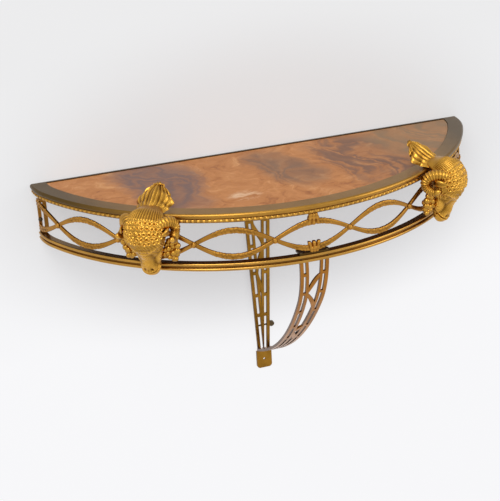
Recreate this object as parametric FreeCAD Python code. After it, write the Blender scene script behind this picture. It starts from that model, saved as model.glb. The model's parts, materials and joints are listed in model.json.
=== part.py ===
import FreeCAD, Part
import math
import os
from FreeCAD import Placement, Rotation, Vector

# A bow-fronted console table that hangs on a wall. A marble slab lies in a bowed brass rim, over
# a frieze of two interlaced strands and a reeded rail. A ram's head stands at each shoulder, with
# a leaf crest that leans over the slab. A lattice strut on the wall and a curved lattice brace
# carry the front.
#
# The wall is the plane Y = 0, the front faces -Y and Z is up. The origin is on the wall, midway
# between the two upper wall-screw holes. Lengths are millimetres.

# Plan of the top: a wide front arc runs into two tight end arcs that meet the wall squarely
WIDTH = 760.0
DEPTH = 284.0
END_RADIUS = 114.0

# Rim moulding, a bowed channel with a bullnose edge and a ledge under the slab
SCREW_DROP = 23.0
RIM_FLAT = 23.0
RIM_HEIGHT = 15.0
RIM_WALL = 3.0
NOSE_REACH = 3.0
NOSE_HEIGHT = 8.5
BAND_SEAT_INSET = 6.0
BAND_INSET = 2.5
BAND_CROWN = 1.2
LEDGE_WIDTH = 10.0
SEAT_DROP = 11.0

# Marble slab
MARBLE_THICKNESS = 10.0
MARBLE_GAP = 0.75

# Back rail, and the thickness of all that lies flat on the wall
FLAT_THICKNESS = 4.5
BACK_RAIL_HEIGHT = 34.0
BACK_LEDGE = 9.0
SCREW_SPACING = 300.0
SCREW_HOLE = 5.0

# Lower rail, with two reeds on its face
FRIEZE_HEIGHT = 68.0
RAIL_HEIGHT = 13.0
RAIL_DEPTH = 12.0
RAIL_INSET = 5.5
REED_REACH = 2.0
GROOVE_WIDTH = 2.6
GROOVE_DEPTH = 1.5

# Frieze of two strands that cross between the ovals
OVALS = 7
RAM_OVAL = 2
END_OVAL_SHARE = 0.565
FRIEZE_INSET = 8.5
STRAND_DEPTH = 5.0
STRAND_HEIGHT = 9.5
CROSSING_HEIGHT = 6.5
WAVE_HEIGHT = 21.5
WAVE_SAG = 2.5
SECTIONS_PER_OVAL = 8
UNDER_STRAND_SHARE = 0.84
STRAND_SHARES = ((-0.5, -0.5), (-0.5, 0.5), (0.2, 0.5), (0.5, 0.22), (0.5, -0.22), (0.2, -0.5))
ROSETTE_RADIUS = 5.0
ROSETTE_HEIGHT = 2.4
ROSETTE_DISC_HEIGHT = 1.0
ROSETTE_CAP_RADIUS = 3.4

# Three-rib collars that tie the strands to the rim and to the rail
COLLAR_RIB = 6.4
COLLAR_RIBS = 3
COLLAR_DEPTH = 8.0
UPPER_COLLAR_HEIGHT = 20.0
LOWER_COLLAR_HEIGHT = 18.0

# End plates on the wall, with the round-headed pin of each
END_PLATE_INSET = 7.5
END_BAR = 5.2
END_SLOT = 3.6
END_INNER_BAR = 6.2
END_BRIDGE = 7.0
PIN_DIAMETER = 3.0
PIN_HEAD_RADIUS = 3.6
PIN_DROP = 61.0

# Straps behind the rams, with the stud and nut that hold each head
STRAP_WIDTH = 14.0
STUD_DIAMETER = 5.0
STUD_GRIP = 8.0
STUD_TAIL = 4.0
STUD_DROP = 45.0
BOSS_DIAMETER = 12.0
BOSS_REACH = 20.0
NUT_WIDTH = 8.0
NUT_HEIGHT = 4.0
BORE_CLEARANCE = 0.3

# Ram's head: reach out of the frieze, drop to the chin, and half sizes of its widest section
HEAD_REACH = 64.0
HEAD_DROP = 93.0
HEAD_HALF_WIDTH = 31.5
HEAD_HALF_DEPTH = 25.0
# Each row holds the shares of reach, drop, half width and half depth of one section, and the
# share by which the section narrows to the front
HEAD_SHARES = (
    (-0.09, 0.054, 0.44, 0.28, 0.0), (0.156, 0.048, 0.67, 0.36, 0.0),
    (0.39, -0.011, 0.89, 0.62, 0.0), (0.545, -0.14, 1.01, 0.93, 0.0),
    (0.56, -0.3, 0.97, 1.0, 0.05), (0.485, -0.46, 0.78, 0.82, 0.15),
    (0.405, -0.62, 0.59, 0.65, 0.2), (0.365, -0.775, 0.5, 0.58, 0.15),
    (0.335, -0.905, 0.46, 0.5, 0.08), (0.32, -0.985, 0.33, 0.32, 0.0))
RING_POINTS = 12
EAR_LENGTH = 30.0
EAR_HEIGHT = 12.0
EAR_THICKNESS = 7.0
EAR_PLACE_SHARES = (1.06, 0.66, -0.16)
EAR_LEAN = 100.0

# Horns: each coils back, down and forward beside the head, lower than it is deep
HORN_COIL_RADIUS = 16.0
HORN_LOW_SHARE = 0.84
HORN_COIL_OUT = 29.0
HORN_COIL_DROP = 17.5
HORN_ROOT_ASIDE = 20.0
HORN_TIP_ASIDE = 42.0
HORN_SPREAD_SHARE = 0.55
HORN_ROOT_RADIUS = 9.0
HORN_TIP_RADIUS = 4.4
HORN_TIGHTEN_SHARE = 0.13
HORN_START = 42.0
HORN_TURN = 288.0
HORN_SECTIONS = 14

# Leaf crest: rise over the top, lean back over the slab, half width, thickness and droop
CREST_RISE = 33.0
CREST_REACH = 50.0
CREST_ROOT_OUT = 14.0
CREST_HALF_WIDTH = 30.0
CREST_THICKNESS = 5.0
CREST_DROOP = 14.5
# Each row holds the shares of reach, rise, half width and droop of one section
CREST_SHARES = (
    (0.0, 0.15, 0.63, 0.34), (0.2, 0.41, 0.9, 0.76), (0.4, 0.62, 1.0, 1.0),
    (0.6, 0.79, 0.97, 0.86), (0.78, 0.9, 0.7, 0.55), (0.92, 0.94, 0.43, 0.24), (1.0, 0.97, 0.27, 0.07))
CREST_NOTCH_SHARES = (0.24, 0.56, 0.84)
CREST_NOTCH_RADIUS = 3.6

# Grapes: places as shares of the cluster's aside, out and drop, and sizes as shares of a berry
GRAPE_ASIDE = 38.0
GRAPE_OUT = 27.0
GRAPE_DROP = 66.0
GRAPE_RADIUS = 5.5
GRAPE_SHARES = (
    (1.08, 0.85, 0.55, 0.95), (1.03, 0.7, 0.61, 0.95),
    (1.11, 0.6, 0.73, 1.0), (0.9, 0.6, 0.72, 1.0), (1.0, 0.56, 0.84, 1.0),
    (0.87, 0.52, 0.92, 0.95), (1.08, 0.52, 0.94, 0.95), (0.96, 0.48, 1.04, 0.9))

# Wall strut and foot tab
STRUT_DROP = 383.0
STRUT_TOP_HALF = 26.6
STRUT_LOW_HALF = 11.0
BAR = 5.5
BAR_GAP = 5.0
INNER_BAR = 4.5
SPACER_LENGTH = 5.0
LEAF_WIDTH = 4.5
LEAF_BELLY = 6.5
LEAF_THICKNESS = 3.0
STRUT_SPACER_SHARES = (0.075, 0.175, 0.278, 0.41, 0.56, 0.685, 0.797)
STRUT_LEAF_SHARES = (0.017, 0.146, 0.278, 0.41, 0.56, 0.685)
TAB_HALF_WIDTH = 14.0
TAB_HEIGHT = 34.0
TAB_CORNER = 6.0
TAB_HOLE = 4.8
TAB_HOLE_DROP = 17.0
STRUT_PIN_SHARE = 0.855
STRUT_PIN_HEAD = 10.0
SPLICE_HALF_WIDTH = 24.0
SPLICE_THICKNESS = 3.0
SPLICE_OVERLAP = 16.0
SCREW_SHANK = 3.0
SCREW_HEAD = 6.0
SCREW_HEAD_HEIGHT = 2.0

# Curved brace, tie plate and tie screws
BRACE_INSET = 10.5
BRACE_TOP_RADIUS = 146.0
BRACE_TURN = 34.2
BRACE_THICKNESS = 4.5
BRACE_TOP_HALF = 24.0
BRACE_LOW_HALF = 13.0
BRACE_GAP = 4.0
BRACE_SPACER_SHARES = (0.055, 0.15, 0.28, 0.42, 0.56, 0.72)
BRACE_LEAF_SHARES = ((0.063, 0.149, 0.267), (0.426, 0.476, 0.591))
TIE_THICKNESS = 3.0
TIE_OVERHANG = 9.0
TIE_SCREW_LENGTH = 14.0

# Length by which a cutting solid runs past what it cuts, and the closeness of joined surfaces
OVERRUN = 5.0
FIT = 0.01

# Levels and plan that follow from the sizes above
TOP_Z = SCREW_DROP
RIM_LOW_Z = TOP_Z - RIM_HEIGHT
NOSE_LOW_Z = TOP_Z - NOSE_HEIGHT
SEAT_Z = TOP_Z - SEAT_DROP
RAIL_TOP_Z = RIM_LOW_Z - FRIEZE_HEIGHT
RAIL_LOW_Z = RAIL_TOP_Z - RAIL_HEIGHT
FRIEZE_MID_Z = (RIM_LOW_Z + RAIL_TOP_Z) / 2 - WAVE_SAG
STRUT_TOP_Z = TOP_Z - BACK_RAIL_HEIGHT
TAB_TOP_Z = TOP_Z - STRUT_DROP
RIM_INNER = NOSE_REACH + RIM_FLAT
HALF_WIDTH = WIDTH / 2
END_CENTRE_X = HALF_WIDTH - END_RADIUS
FRONT_RADIUS = (END_CENTRE_X**2 + DEPTH**2 - END_RADIUS**2) / (2 * (DEPTH - END_RADIUS))
FRONT_CENTRE_Y = FRONT_RADIUS - DEPTH
JOIN_ANGLE = math.atan2(END_CENTRE_X, FRONT_CENTRE_Y)
QUARTER_TURN = math.pi / 2
FRONT_RUN = (FRONT_RADIUS - FRIEZE_INSET) * JOIN_ANGLE
HALF_FRIEZE = FRONT_RUN + (END_RADIUS - FRIEZE_INSET) * (QUARTER_TURN - JOIN_ANGLE)
PITCH = HALF_FRIEZE / (OVALS / 2 + END_OVAL_SHARE)
UP = Vector(0, 0, 1)
ASIDE = Vector(1, 0, 0)
ORIGIN = Vector(0, 0, 0)


def wire_of(start, *steps):
    """Wire from start and straight back to it; a step is a point, or an arc's middle and end."""
    edges = []
    here = start
    for step in steps:
        if isinstance(step, tuple):
            middle, there = step
            edges.append(Part.Arc(here, middle, there).toShape())
        else:
            there = step
            edges.append(Part.LineSegment(here, there).toShape())
        here = there
    edges.append(Part.LineSegment(here, start).toShape())
    return Part.Wire(edges)


def mirrored(shape):
    """The same piece on the other side of the middle line."""
    return shape.mirror(ORIGIN, ASIDE)


def fused(shapes):
    """One solid of shapes that meet."""
    return shapes[0].multiFuse(shapes[1:]).removeSplitter()


def seated(shape, carrier):
    """A piece cut back to the surface of what carries it."""
    return max(shape.cut(carrier).Solids, key=lambda solid: solid.Volume)


def bow_angle(along):
    """Angle from straight ahead of the bow's normal at a length along the frieze line."""
    run = abs(along)
    if run <= FRONT_RUN:
        angle = run / (FRONT_RADIUS - FRIEZE_INSET)
    else:
        angle = JOIN_ANGLE + (run - FRONT_RUN) / (END_RADIUS - FRIEZE_INSET)
    return math.copysign(angle, along)


def on_bow(along, inset, height):
    """Point of the bow at a length along the frieze line, a depth inside its edge and a height."""
    angle = bow_angle(along)
    if abs(angle) <= JOIN_ANGLE:
        centre, radius = Vector(0, FRONT_CENTRE_Y, height), FRONT_RADIUS
    else:
        centre, radius = Vector(math.copysign(END_CENTRE_X, along), 0, height), END_RADIUS
    return centre + bow_normal(along) * (radius - inset)


def bow_normal(along):
    """Outward normal of the bow."""
    angle = bow_angle(along)
    return Vector(math.sin(angle), -math.cos(angle), 0)


def bow_tangent(along):
    """Direction of the bow from left to right."""
    angle = bow_angle(along)
    return Vector(math.cos(angle), math.sin(angle), 0)


def bow_sweep(outline):
    """Carry an outline, drawn at an inset and a height, round the three arcs of the bow."""
    side_turn = QUARTER_TURN - JOIN_ANGLE
    arcs = (
        (Vector(-END_CENTRE_X, 0, 0), END_RADIUS, -QUARTER_TURN, side_turn),
        (Vector(0, FRONT_CENTRE_Y, 0), FRONT_RADIUS, -JOIN_ANGLE, 2 * JOIN_ANGLE),
        (Vector(END_CENTRE_X, 0, 0), END_RADIUS, JOIN_ANGLE, side_turn))
    pieces = []
    for centre, radius, start, turn in arcs:
        face = Part.Face(outline(lambda inset, height: centre + Vector(0, inset - radius, height)))
        face.rotate(centre, UP, math.degrees(start))
        pieces.append(face.revolve(centre, UP, math.degrees(turn)))
    return fused(pieces)


def box(x_range, y_range, z_range):
    """Block between pairs of X, Y and Z."""
    low = Vector(min(x_range), min(y_range), min(z_range))
    high = Vector(max(x_range), max(y_range), max(z_range))
    size = high - low
    return Part.makeBox(size.x, size.y, size.z, low)


def wall_plate(points, thickness):
    """Plate on the wall with an outline of X and Z."""
    corners = [Vector(x, 0, z) for x, z in points]
    return Part.Face(wire_of(*corners)).extrude(Vector(0, -thickness, 0))


def wall_space():
    """All that lies nearer to the wall than the front of the flat pieces."""
    return box((-WIDTH, WIDTH), (-FLAT_THICKNESS, WIDTH), (-WIDTH, WIDTH))


# Top


def rim_outline(place):
    """Bullnose, band seat, channel and slab ledge of the rim."""
    wall_foot = BAND_SEAT_INSET + RIM_WALL
    inner_wall = RIM_INNER - RIM_WALL
    ledge_edge = RIM_INNER + LEDGE_WIDTH
    ledge_low = SEAT_Z - RIM_WALL
    return wire_of(
        place(RIM_INNER, TOP_Z),
        place(NOSE_REACH, TOP_Z),
        (place(0, TOP_Z - NOSE_HEIGHT / 2), place(NOSE_REACH, NOSE_LOW_Z)),
        place(BAND_SEAT_INSET, NOSE_LOW_Z),
        place(BAND_SEAT_INSET, RIM_LOW_Z),
        place(wall_foot, RIM_LOW_Z),
        place(wall_foot, TOP_Z - RIM_WALL),
        place(inner_wall, TOP_Z - RIM_WALL),
        place(inner_wall, ledge_low),
        place(ledge_edge, ledge_low),
        place(ledge_edge, SEAT_Z),
        place(RIM_INNER, SEAT_Z))


def band_outline(place):
    """Crowned strip under the bullnose."""
    shoulder = BAND_INSET + BAND_CROWN
    return wire_of(
        place(BAND_SEAT_INSET, NOSE_LOW_Z),
        place(shoulder, NOSE_LOW_Z),
        (place(BAND_INSET, (NOSE_LOW_Z + RIM_LOW_Z) / 2), place(shoulder, RIM_LOW_Z)),
        place(BAND_SEAT_INSET, RIM_LOW_Z))


def rail_outline(place):
    """Flat top and back, and two reeds with a groove between them on the face."""
    shoulder = RAIL_INSET + REED_REACH
    reed = (RAIL_HEIGHT - GROOVE_WIDTH) / 2
    groove_top = RAIL_TOP_Z - reed
    groove_low = RAIL_LOW_Z + reed
    return wire_of(
        place(RAIL_INSET + RAIL_DEPTH, RAIL_TOP_Z),
        place(shoulder, RAIL_TOP_Z),
        (place(RAIL_INSET, RAIL_TOP_Z - reed / 2), place(shoulder, groove_top)),
        place(shoulder + GROOVE_DEPTH, groove_top),
        place(shoulder + GROOVE_DEPTH, groove_low),
        place(shoulder, groove_low),
        (place(RAIL_INSET, RAIL_LOW_Z + reed / 2), place(shoulder, RAIL_LOW_Z)),
        place(RAIL_INSET + RAIL_DEPTH, RAIL_LOW_Z))


def marble_slab():
    """D-shaped slab inside the rim."""
    inset = RIM_INNER + MARBLE_GAP
    back = FLAT_THICKNESS + MARBLE_GAP
    end_radius = END_RADIUS - inset
    end_angle = math.acos(back / end_radius)
    bend = (JOIN_ANGLE + end_angle) / 2

    def end_point(angle):
        return Vector(END_CENTRE_X + end_radius * math.sin(angle), -end_radius * math.cos(angle), SEAT_Z)

    def other_side(point):
        return Vector(-point.x, point.y, point.z)

    right_back, right_bend, right_join = end_point(end_angle), end_point(bend), end_point(JOIN_ANGLE)
    plan = wire_of(
        other_side(right_back),
        (other_side(right_bend), other_side(right_join)),
        (Vector(0, inset - DEPTH, SEAT_Z), right_join),
        (right_bend, right_back))
    return Part.Face(plan).extrude(UP * MARBLE_THICKNESS)


def back_leg():
    """Upright leg of the back rail, between the ends of the rim."""
    half = HALF_WIDTH - RIM_INNER
    leg = box((-half, half), (-FLAT_THICKNESS, 0), (STRUT_TOP_Z, TOP_Z))
    for x in (-SCREW_SPACING / 2, SCREW_SPACING / 2):
        start = Vector(x, OVERRUN, 0)
        leg = leg.cut(Part.makeCylinder(SCREW_HOLE / 2, FLAT_THICKNESS + 2 * OVERRUN, start, Vector(0, -1, 0)))
    return leg


def back_rail(leg, rim):
    """Leg with the slab ledge that runs between the rim's own ledges."""
    half = HALF_WIDTH - RIM_INNER
    front = -FLAT_THICKNESS - BACK_LEDGE
    ledge = box((-half, half), (front, -FLAT_THICKNESS), (SEAT_Z - RIM_WALL, SEAT_Z))
    return fused([leg, ledge.cut(rim)])


# Frieze


def wave(along, side):
    """Height and slope of a strand; side is 1 for the one that is high at the middle."""
    phase = math.pi * along / PITCH
    height = FRIEZE_MID_Z + side * WAVE_HEIGHT * math.cos(phase)
    slope = -side * WAVE_HEIGHT * math.pi / PITCH * math.sin(phase)
    return height, slope


def strand_section(along, side, square):
    """Section of a strand, upright where it ends on another piece."""
    height, slope = wave(along, side)
    lean = 0 if square else math.atan(slope)
    centre = on_bow(along, FRIEZE_INSET, height)
    outward = bow_normal(along)
    upward = UP * math.cos(lean) - bow_tangent(along) * math.sin(lean)
    swell = math.cos(math.pi * along / PITCH)**2
    tall = CROSSING_HEIGHT + (STRAND_HEIGHT - CROSSING_HEIGHT) * swell
    deep = STRAND_DEPTH if side > 0 else STRAND_DEPTH * UNDER_STRAND_SHARE
    return [centre + outward * (deep * out) + upward * (tall * rise) for out, rise in STRAND_SHARES]


def edged(sections):
    """Solid with a smooth sharp edge along each corner of its sections and a flat cap at each end."""
    steps = list(range(len(sections)))
    edges = []
    for corner in zip(*sections):
        curve = Part.BSplineCurve()
        curve.interpolate(Points=list(corner), Parameters=steps)
        edges.append(curve.toShape())
    sides = [Part.makeRuledSurface(edge, other) for edge, other in zip(edges, edges[1:] + edges[:1])]
    caps = [Part.Face(wire_of(*sections[end])) for end in (0, -1)]
    shell = Part.Shell(sides + caps)
    shell.sewShape()
    solid = Part.Solid(shell)
    solid.fix(FIT, FIT, FIT)
    return solid


def frieze_panel(start, end):
    """Two strands from one length along the frieze to another, cast as one."""
    count = max(2, round((end - start) / PITCH * SECTIONS_PER_OVAL))
    strands = []
    for side in (-1, 1):
        sections = []
        for step in range(count + 1):
            along = start + (end - start) * step / count
            sections.append(strand_section(along, side, step in (0, count)))
        strands.append(edged(sections))
    return fused(strands)


def rosette(along):
    """Boss on a crossing: a low disc with a round cap."""
    outward = bow_normal(along)
    aside = bow_tangent(along)
    base = on_bow(along, FRIEZE_INSET - STRAND_DEPTH / 2, FRIEZE_MID_Z)
    cap_height = ROSETTE_HEIGHT - ROSETTE_DISC_HEIGHT
    ball = (ROSETTE_CAP_RADIUS**2 + cap_height**2) / (2 * cap_height)
    half_angle = math.asin(ROSETTE_CAP_RADIUS / ball) / 2

    def at(radius, height):
        return base + aside * radius + outward * height

    bulge = at(ball * math.sin(half_angle), ROSETTE_HEIGHT - ball * (1 - math.cos(half_angle)))
    half = Part.Face(wire_of(
        at(0, 0), at(ROSETTE_RADIUS, 0), at(ROSETTE_RADIUS, ROSETTE_DISC_HEIGHT),
        at(ROSETTE_CAP_RADIUS, ROSETTE_DISC_HEIGHT), (bulge, at(0, ROSETTE_HEIGHT))))
    return half.revolve(base, outward, math.degrees(4 * QUARTER_TURN))


def collar(low, high, strand):
    """Upright ribs side by side that wrap a strand at the middle of the front."""
    middle = on_bow(0, FRIEZE_INSET, 0)
    ribs = []
    for rib in range(COLLAR_RIBS):
        centre_x = COLLAR_RIB * (rib - (COLLAR_RIBS - 1) / 2)
        half = COLLAR_RIB / 2
        back = middle.y + COLLAR_DEPTH / 2
        front = middle.y - COLLAR_DEPTH / 2
        plan = wire_of(
            Vector(centre_x - half, back, low),
            Vector(centre_x - half, front + half, low),
            (Vector(centre_x, front, low), Vector(centre_x + half, front + half, low)),
            Vector(centre_x + half, back, low))
        ribs.append(Part.Face(plan).extrude(UP * (high - low)))
    return fused(ribs).cut(strand)


def end_plate():
    """Right end plate: a tall inner bar, a shorter outer bar and the bridges of the slot."""
    outer = HALF_WIDTH - END_PLATE_INSET
    slot_outer = outer - END_BAR
    slot_inner = slot_outer - END_SLOT
    inner = slot_inner - END_INNER_BAR
    shoulder_z = FRIEZE_MID_Z + WAVE_HEIGHT + STRAND_HEIGHT / 2
    plate = wall_plate((
        (outer, RAIL_TOP_Z), (outer, shoulder_z), (slot_inner, shoulder_z),
        (slot_inner, TOP_Z - RIM_WALL), (inner, TOP_Z - RIM_WALL), (inner, RAIL_TOP_Z)), FLAT_THICKNESS)
    slot = box((slot_inner, slot_outer), (-FLAT_THICKNESS - OVERRUN, OVERRUN),
               (RAIL_TOP_Z + END_BRIDGE, shoulder_z - END_BRIDGE))
    return plate.cut(slot)


def end_pin():
    """Round-headed pin in the outer bar of the right end plate."""
    x = HALF_WIDTH - END_PLATE_INSET - END_BAR / 2
    front = Vector(x, -FLAT_THICKNESS, TOP_Z - PIN_DROP)
    shank = Part.makeCylinder(PIN_DIAMETER / 2, FLAT_THICKNESS, front, Vector(0, 1, 0))
    head = Part.makeSphere(PIN_HEAD_RADIUS, front).cut(wall_space())
    return fused([head, shank])


def strap():
    """Right strap: an upright between rim and rail that joins two panels and takes the stud."""
    along = RAM_OVAL * PITCH
    half_width = STRAP_WIDTH / 2
    half_depth = STRAND_DEPTH / 2
    block = Part.makeBox(STRAP_WIDTH, STRAND_DEPTH, FRIEZE_HEIGHT,
                         Vector(-half_width, -half_depth, RAIL_TOP_Z - TOP_Z))
    bore = Part.makeCylinder(STUD_DIAMETER / 2 + BORE_CLEARANCE, STRAND_DEPTH + 2 * OVERRUN,
                             Vector(0, -half_depth - OVERRUN, -STUD_DROP), Vector(0, 1, 0))
    piece = block.cut(bore)
    piece.Placement = ram_placement(along)
    return piece


# Rams, drawn with X aside, Y outward from the frieze line and Z up from the top face


def ram_placement(along):
    """Frame of a ram: X aside, Y outward, Z up, at the frieze line and the top face."""
    turn = Rotation(UP, math.degrees(bow_angle(along) + 2 * QUARTER_TURN))
    return Placement(on_bow(along, FRIEZE_INSET, TOP_Z), turn)


def ring(centre, across, through, half_width, half_depth, narrow=0, droop=0):
    """Poles of an oval section that may narrow through its depth, and droop to its sides."""
    spread = 3 / (2 + math.cos(4 * QUARTER_TURN / RING_POINTS))
    points = []
    for step in range(RING_POINTS):
        angle = 4 * QUARTER_TURN * step / RING_POINTS
        aside = math.cos(angle)
        rise = half_depth * spread * math.sin(angle) - droop * aside**2
        wide = half_width * spread * aside * (1 - narrow * math.sin(angle))
        points.append(centre + across * wide + through * rise)
    return points


def skinned(rings):
    """Solid with a smooth cubic surface round rings of poles and a flat cap at each end."""
    spans = len(rings) - 3
    ends = [4] + [1] * (spans - 1) + [4]
    surface = Part.BSplineSurface()
    surface.buildFromPolesMultsKnots(
        rings, ends, [1] * (RING_POINTS + 1), list(range(spans + 1)), list(range(RING_POINTS + 1)),
        False, True, 3, 3)
    side = surface.toShape()
    caps = [Part.Face(Part.Wire([edge])) for edge in side.Edges if edge.isClosed()]
    solid = Part.Solid(Part.Shell([side] + caps))
    solid.fix(FIT, FIT, FIT)
    return solid


def spine_frames(points):
    """Direction through the thickness of a form at each point of its spine."""
    frames = []
    for place in range(len(points)):
        ahead = points[min(place + 1, len(points) - 1)] - points[max(place - 1, 0)]
        frames.append(ASIDE.cross(ahead).normalize())
    return frames


def ear():
    """Leaf-shaped ear in the coil of the right horn."""
    stretch = FreeCAD.Matrix()
    stretch.scale(EAR_LENGTH / 2, EAR_THICKNESS / 2, EAR_HEIGHT / 2)
    leaf = Part.makeSphere(1).transformGeometry(stretch)
    aside, out, drop = EAR_PLACE_SHARES
    centre = Vector(HEAD_HALF_WIDTH * aside, HEAD_REACH * out, HEAD_DROP * drop)
    leaf.Placement = Placement(centre, Rotation(UP, EAR_LEAN))
    return leaf


def ram_head(rim):
    """Neck, forehead, muzzle and ears, with the boss that takes the stud."""
    spine = [Vector(0, HEAD_REACH * row[0], HEAD_DROP * row[1]) for row in HEAD_SHARES]
    sections = []
    for centre, through, row in zip(spine, spine_frames(spine), HEAD_SHARES):
        wide, deep, narrow = row[2:]
        sections.append(ring(centre, ASIDE, through, HEAD_HALF_WIDTH * wide, HEAD_HALF_DEPTH * deep, narrow))
    seat = Vector(0, STRAND_DEPTH / 2, -STUD_DROP)
    boss = Part.makeCylinder(BOSS_DIAMETER / 2, BOSS_REACH, seat, Vector(0, 1, 0))
    head = fused([skinned(sections), boss, ear(), mirrored(ear())])
    stud_hole = Part.makeCylinder(STUD_DIAMETER / 2, STUD_GRIP, seat, Vector(0, 1, 0))
    head = head.cut(stud_hole)
    head.Placement = ram_placement(RAM_OVAL * PITCH)
    return seated(head, rim)


def horn_point(share):
    """Point of the right horn's coil, from root to tip."""
    angle = math.radians(HORN_START + HORN_TURN * share)
    radius = HORN_COIL_RADIUS * (1 - HORN_TIGHTEN_SHARE * share)
    spread = math.sin(QUARTER_TURN * min(share / HORN_SPREAD_SHARE, 1))
    aside = HORN_ROOT_ASIDE + (HORN_TIP_ASIDE - HORN_ROOT_ASIDE) * spread
    return Vector(aside, HORN_COIL_OUT + radius * math.cos(angle),
                  -HORN_COIL_DROP + radius * HORN_LOW_SHARE * math.sin(angle))


def ram_horns(head):
    """Pair of tapered coils, seated on the head."""
    sections = []
    for step in range(HORN_SECTIONS):
        share = step / (HORN_SECTIONS - 1)
        ahead = horn_point(share + 1 / HORN_SECTIONS) - horn_point(share - 1 / HORN_SECTIONS)
        across = ahead.cross(ASIDE).normalize()
        through = across.cross(ahead).normalize()
        radius = HORN_ROOT_RADIUS + (HORN_TIP_RADIUS - HORN_ROOT_RADIUS) * share**2
        sections.append(ring(horn_point(share), across, through, radius, radius))
    return pair_on(skinned(sections), head)


def pair_on(piece, carrier):
    """A ram's piece and its twin, set in the ram's frame and cut to seat on what carries them."""
    twins = []
    for shape in (piece, mirrored(piece)):
        shape.Placement = ram_placement(RAM_OVAL * PITCH).multiply(shape.Placement)
        twins.append(seated(shape, carrier))
    return Part.makeCompound(twins)


def crest_point(row):
    """Place of a crest section."""
    reach, rise = row[0], row[1]
    return Vector(0, CREST_ROOT_OUT - CREST_REACH * reach, CREST_RISE * rise)


def ram_crest(head):
    """Drooping leaf with lobes along its sides, seated on the neck."""
    spine = [crest_point(row) for row in CREST_SHARES]
    sections = []
    for centre, through, row in zip(spine, spine_frames(spine), CREST_SHARES):
        wide, droop = CREST_HALF_WIDTH * row[2], CREST_DROOP * row[3]
        sections.append(ring(centre, ASIDE, through * -1, wide, CREST_THICKNESS / 2, 0, droop))
    leaf = skinned(sections)
    for share in CREST_NOTCH_SHARES:
        low, high = notch_rows(share)
        blend = (share - low[0]) / (high[0] - low[0])
        place = crest_point(low) * (1 - blend) + crest_point(high) * blend
        half = CREST_HALF_WIDTH * (low[2] * (1 - blend) + high[2] * blend)
        lean = (crest_point(high) - crest_point(low)).cross(ASIDE).normalize()
        for side in (-1, 1):
            start = place + ASIDE * (half * side) - lean * CREST_RISE
            leaf = leaf.cut(Part.makeCylinder(CREST_NOTCH_RADIUS, 2 * CREST_RISE, start, lean))
    leaf.Placement = ram_placement(RAM_OVAL * PITCH)
    return seated(leaf, head)


def notch_rows(share):
    """The two crest sections that a notch lies between."""
    for low, high in zip(CREST_SHARES, CREST_SHARES[1:]):
        if low[0] <= share <= high[0]:
            return low, high


def ram_grapes(carrier):
    """Pair of grape clusters that hang behind the cheeks, under the horns."""
    berries = []
    for aside, out, drop, size in GRAPE_SHARES:
        centre = Vector(GRAPE_ASIDE * aside, GRAPE_OUT * out, -GRAPE_DROP * drop)
        berries.append(Part.makeSphere(GRAPE_RADIUS * size, centre))
    return pair_on(fused(berries), carrier)


def ram_stud():
    """Stud from the head's boss through the strap."""
    length = STUD_GRIP + STRAND_DEPTH + NUT_HEIGHT + STUD_TAIL
    start = Vector(0, STRAND_DEPTH / 2 + STUD_GRIP, -STUD_DROP)
    stud = Part.makeCylinder(STUD_DIAMETER / 2, length, start, Vector(0, -1, 0))
    stud.Placement = ram_placement(RAM_OVAL * PITCH).multiply(stud.Placement)
    return stud


def ram_nut():
    """Hexagon nut behind the strap."""
    seat = -STRAND_DEPTH / 2
    corner = NUT_WIDTH / math.sqrt(3)
    corners = []
    for side in range(6):
        angle = 4 * QUARTER_TURN * side / 6
        corners.append(Vector(corner * math.cos(angle), seat, corner * math.sin(angle) - STUD_DROP))
    nut = Part.Face(wire_of(*corners)).extrude(Vector(0, -NUT_HEIGHT, 0))
    bore = Part.makeCylinder(STUD_DIAMETER / 2, NUT_HEIGHT + 2 * OVERRUN,
                             Vector(0, seat + OVERRUN, -STUD_DROP), Vector(0, -1, 0))
    nut = nut.cut(bore)
    nut.Placement = ram_placement(RAM_OVAL * PITCH)
    return nut


# Bracket of strut and brace


def half_width_at(z, top, low):
    """Half width of a tapered ladder, where top and low are pairs of height and half width."""
    share = (top[0] - z) / (top[0] - low[0])
    return top[1] + (low[1] - top[1]) * share


def stile_bars(top, low, gap, depth):
    """Outer and inner bar of a right stile, as seen from the front and as deep as given."""
    bars = []
    for start, wide in ((0, BAR), (BAR + gap, INNER_BAR)):
        bars.append(wall_plate((
            (top[1] - start, top[0]), (low[1] - start, low[0]),
            (low[1] - start - wide, low[0]), (top[1] - start - wide, top[0])), depth))
    right_half = box((0, WIDTH), (-DEPTH, 0), (low[0], top[0]))
    return [bar.common(right_half) for bar in bars]


def stile_spacer(z, tall, top, low, gap, depth):
    """Block that holds the two bars of a stile apart."""
    outer = half_width_at(z, top, low) - BAR / 2
    inner = max(outer - BAR / 2 - gap - INNER_BAR / 2, 0)
    return box((inner, outer), (-depth, 0), (z - tall / 2, z + tall / 2))


def leaf_strap(start, end, depth):
    """Flat leaf from one X and Z to another, widest at its middle."""
    first = Vector(start[0], 0, start[1])
    last = Vector(end[0], 0, end[1])
    aside = (last - first).cross(Vector(0, 1, 0)).normalize()
    middle = (first + last) / 2
    plan = wire_of(
        first + aside * (LEAF_WIDTH / 2),
        (middle + aside * (LEAF_BELLY / 2), last + aside * (LEAF_WIDTH / 2)),
        last - aside * (LEAF_WIDTH / 2),
        (middle - aside * (LEAF_BELLY / 2), first - aside * (LEAF_WIDTH / 2)))
    return Part.Face(plan).extrude(Vector(0, -depth, 0))


STRUT_TOP = (STRUT_TOP_Z, STRUT_TOP_HALF)
STRUT_LOW = (TAB_TOP_Z, STRUT_LOW_HALF)


def strut_z(share):
    """Height at a share of the strut's length."""
    return STRUT_TOP_Z + (TAB_TOP_Z - STRUT_TOP_Z) * share


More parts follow.
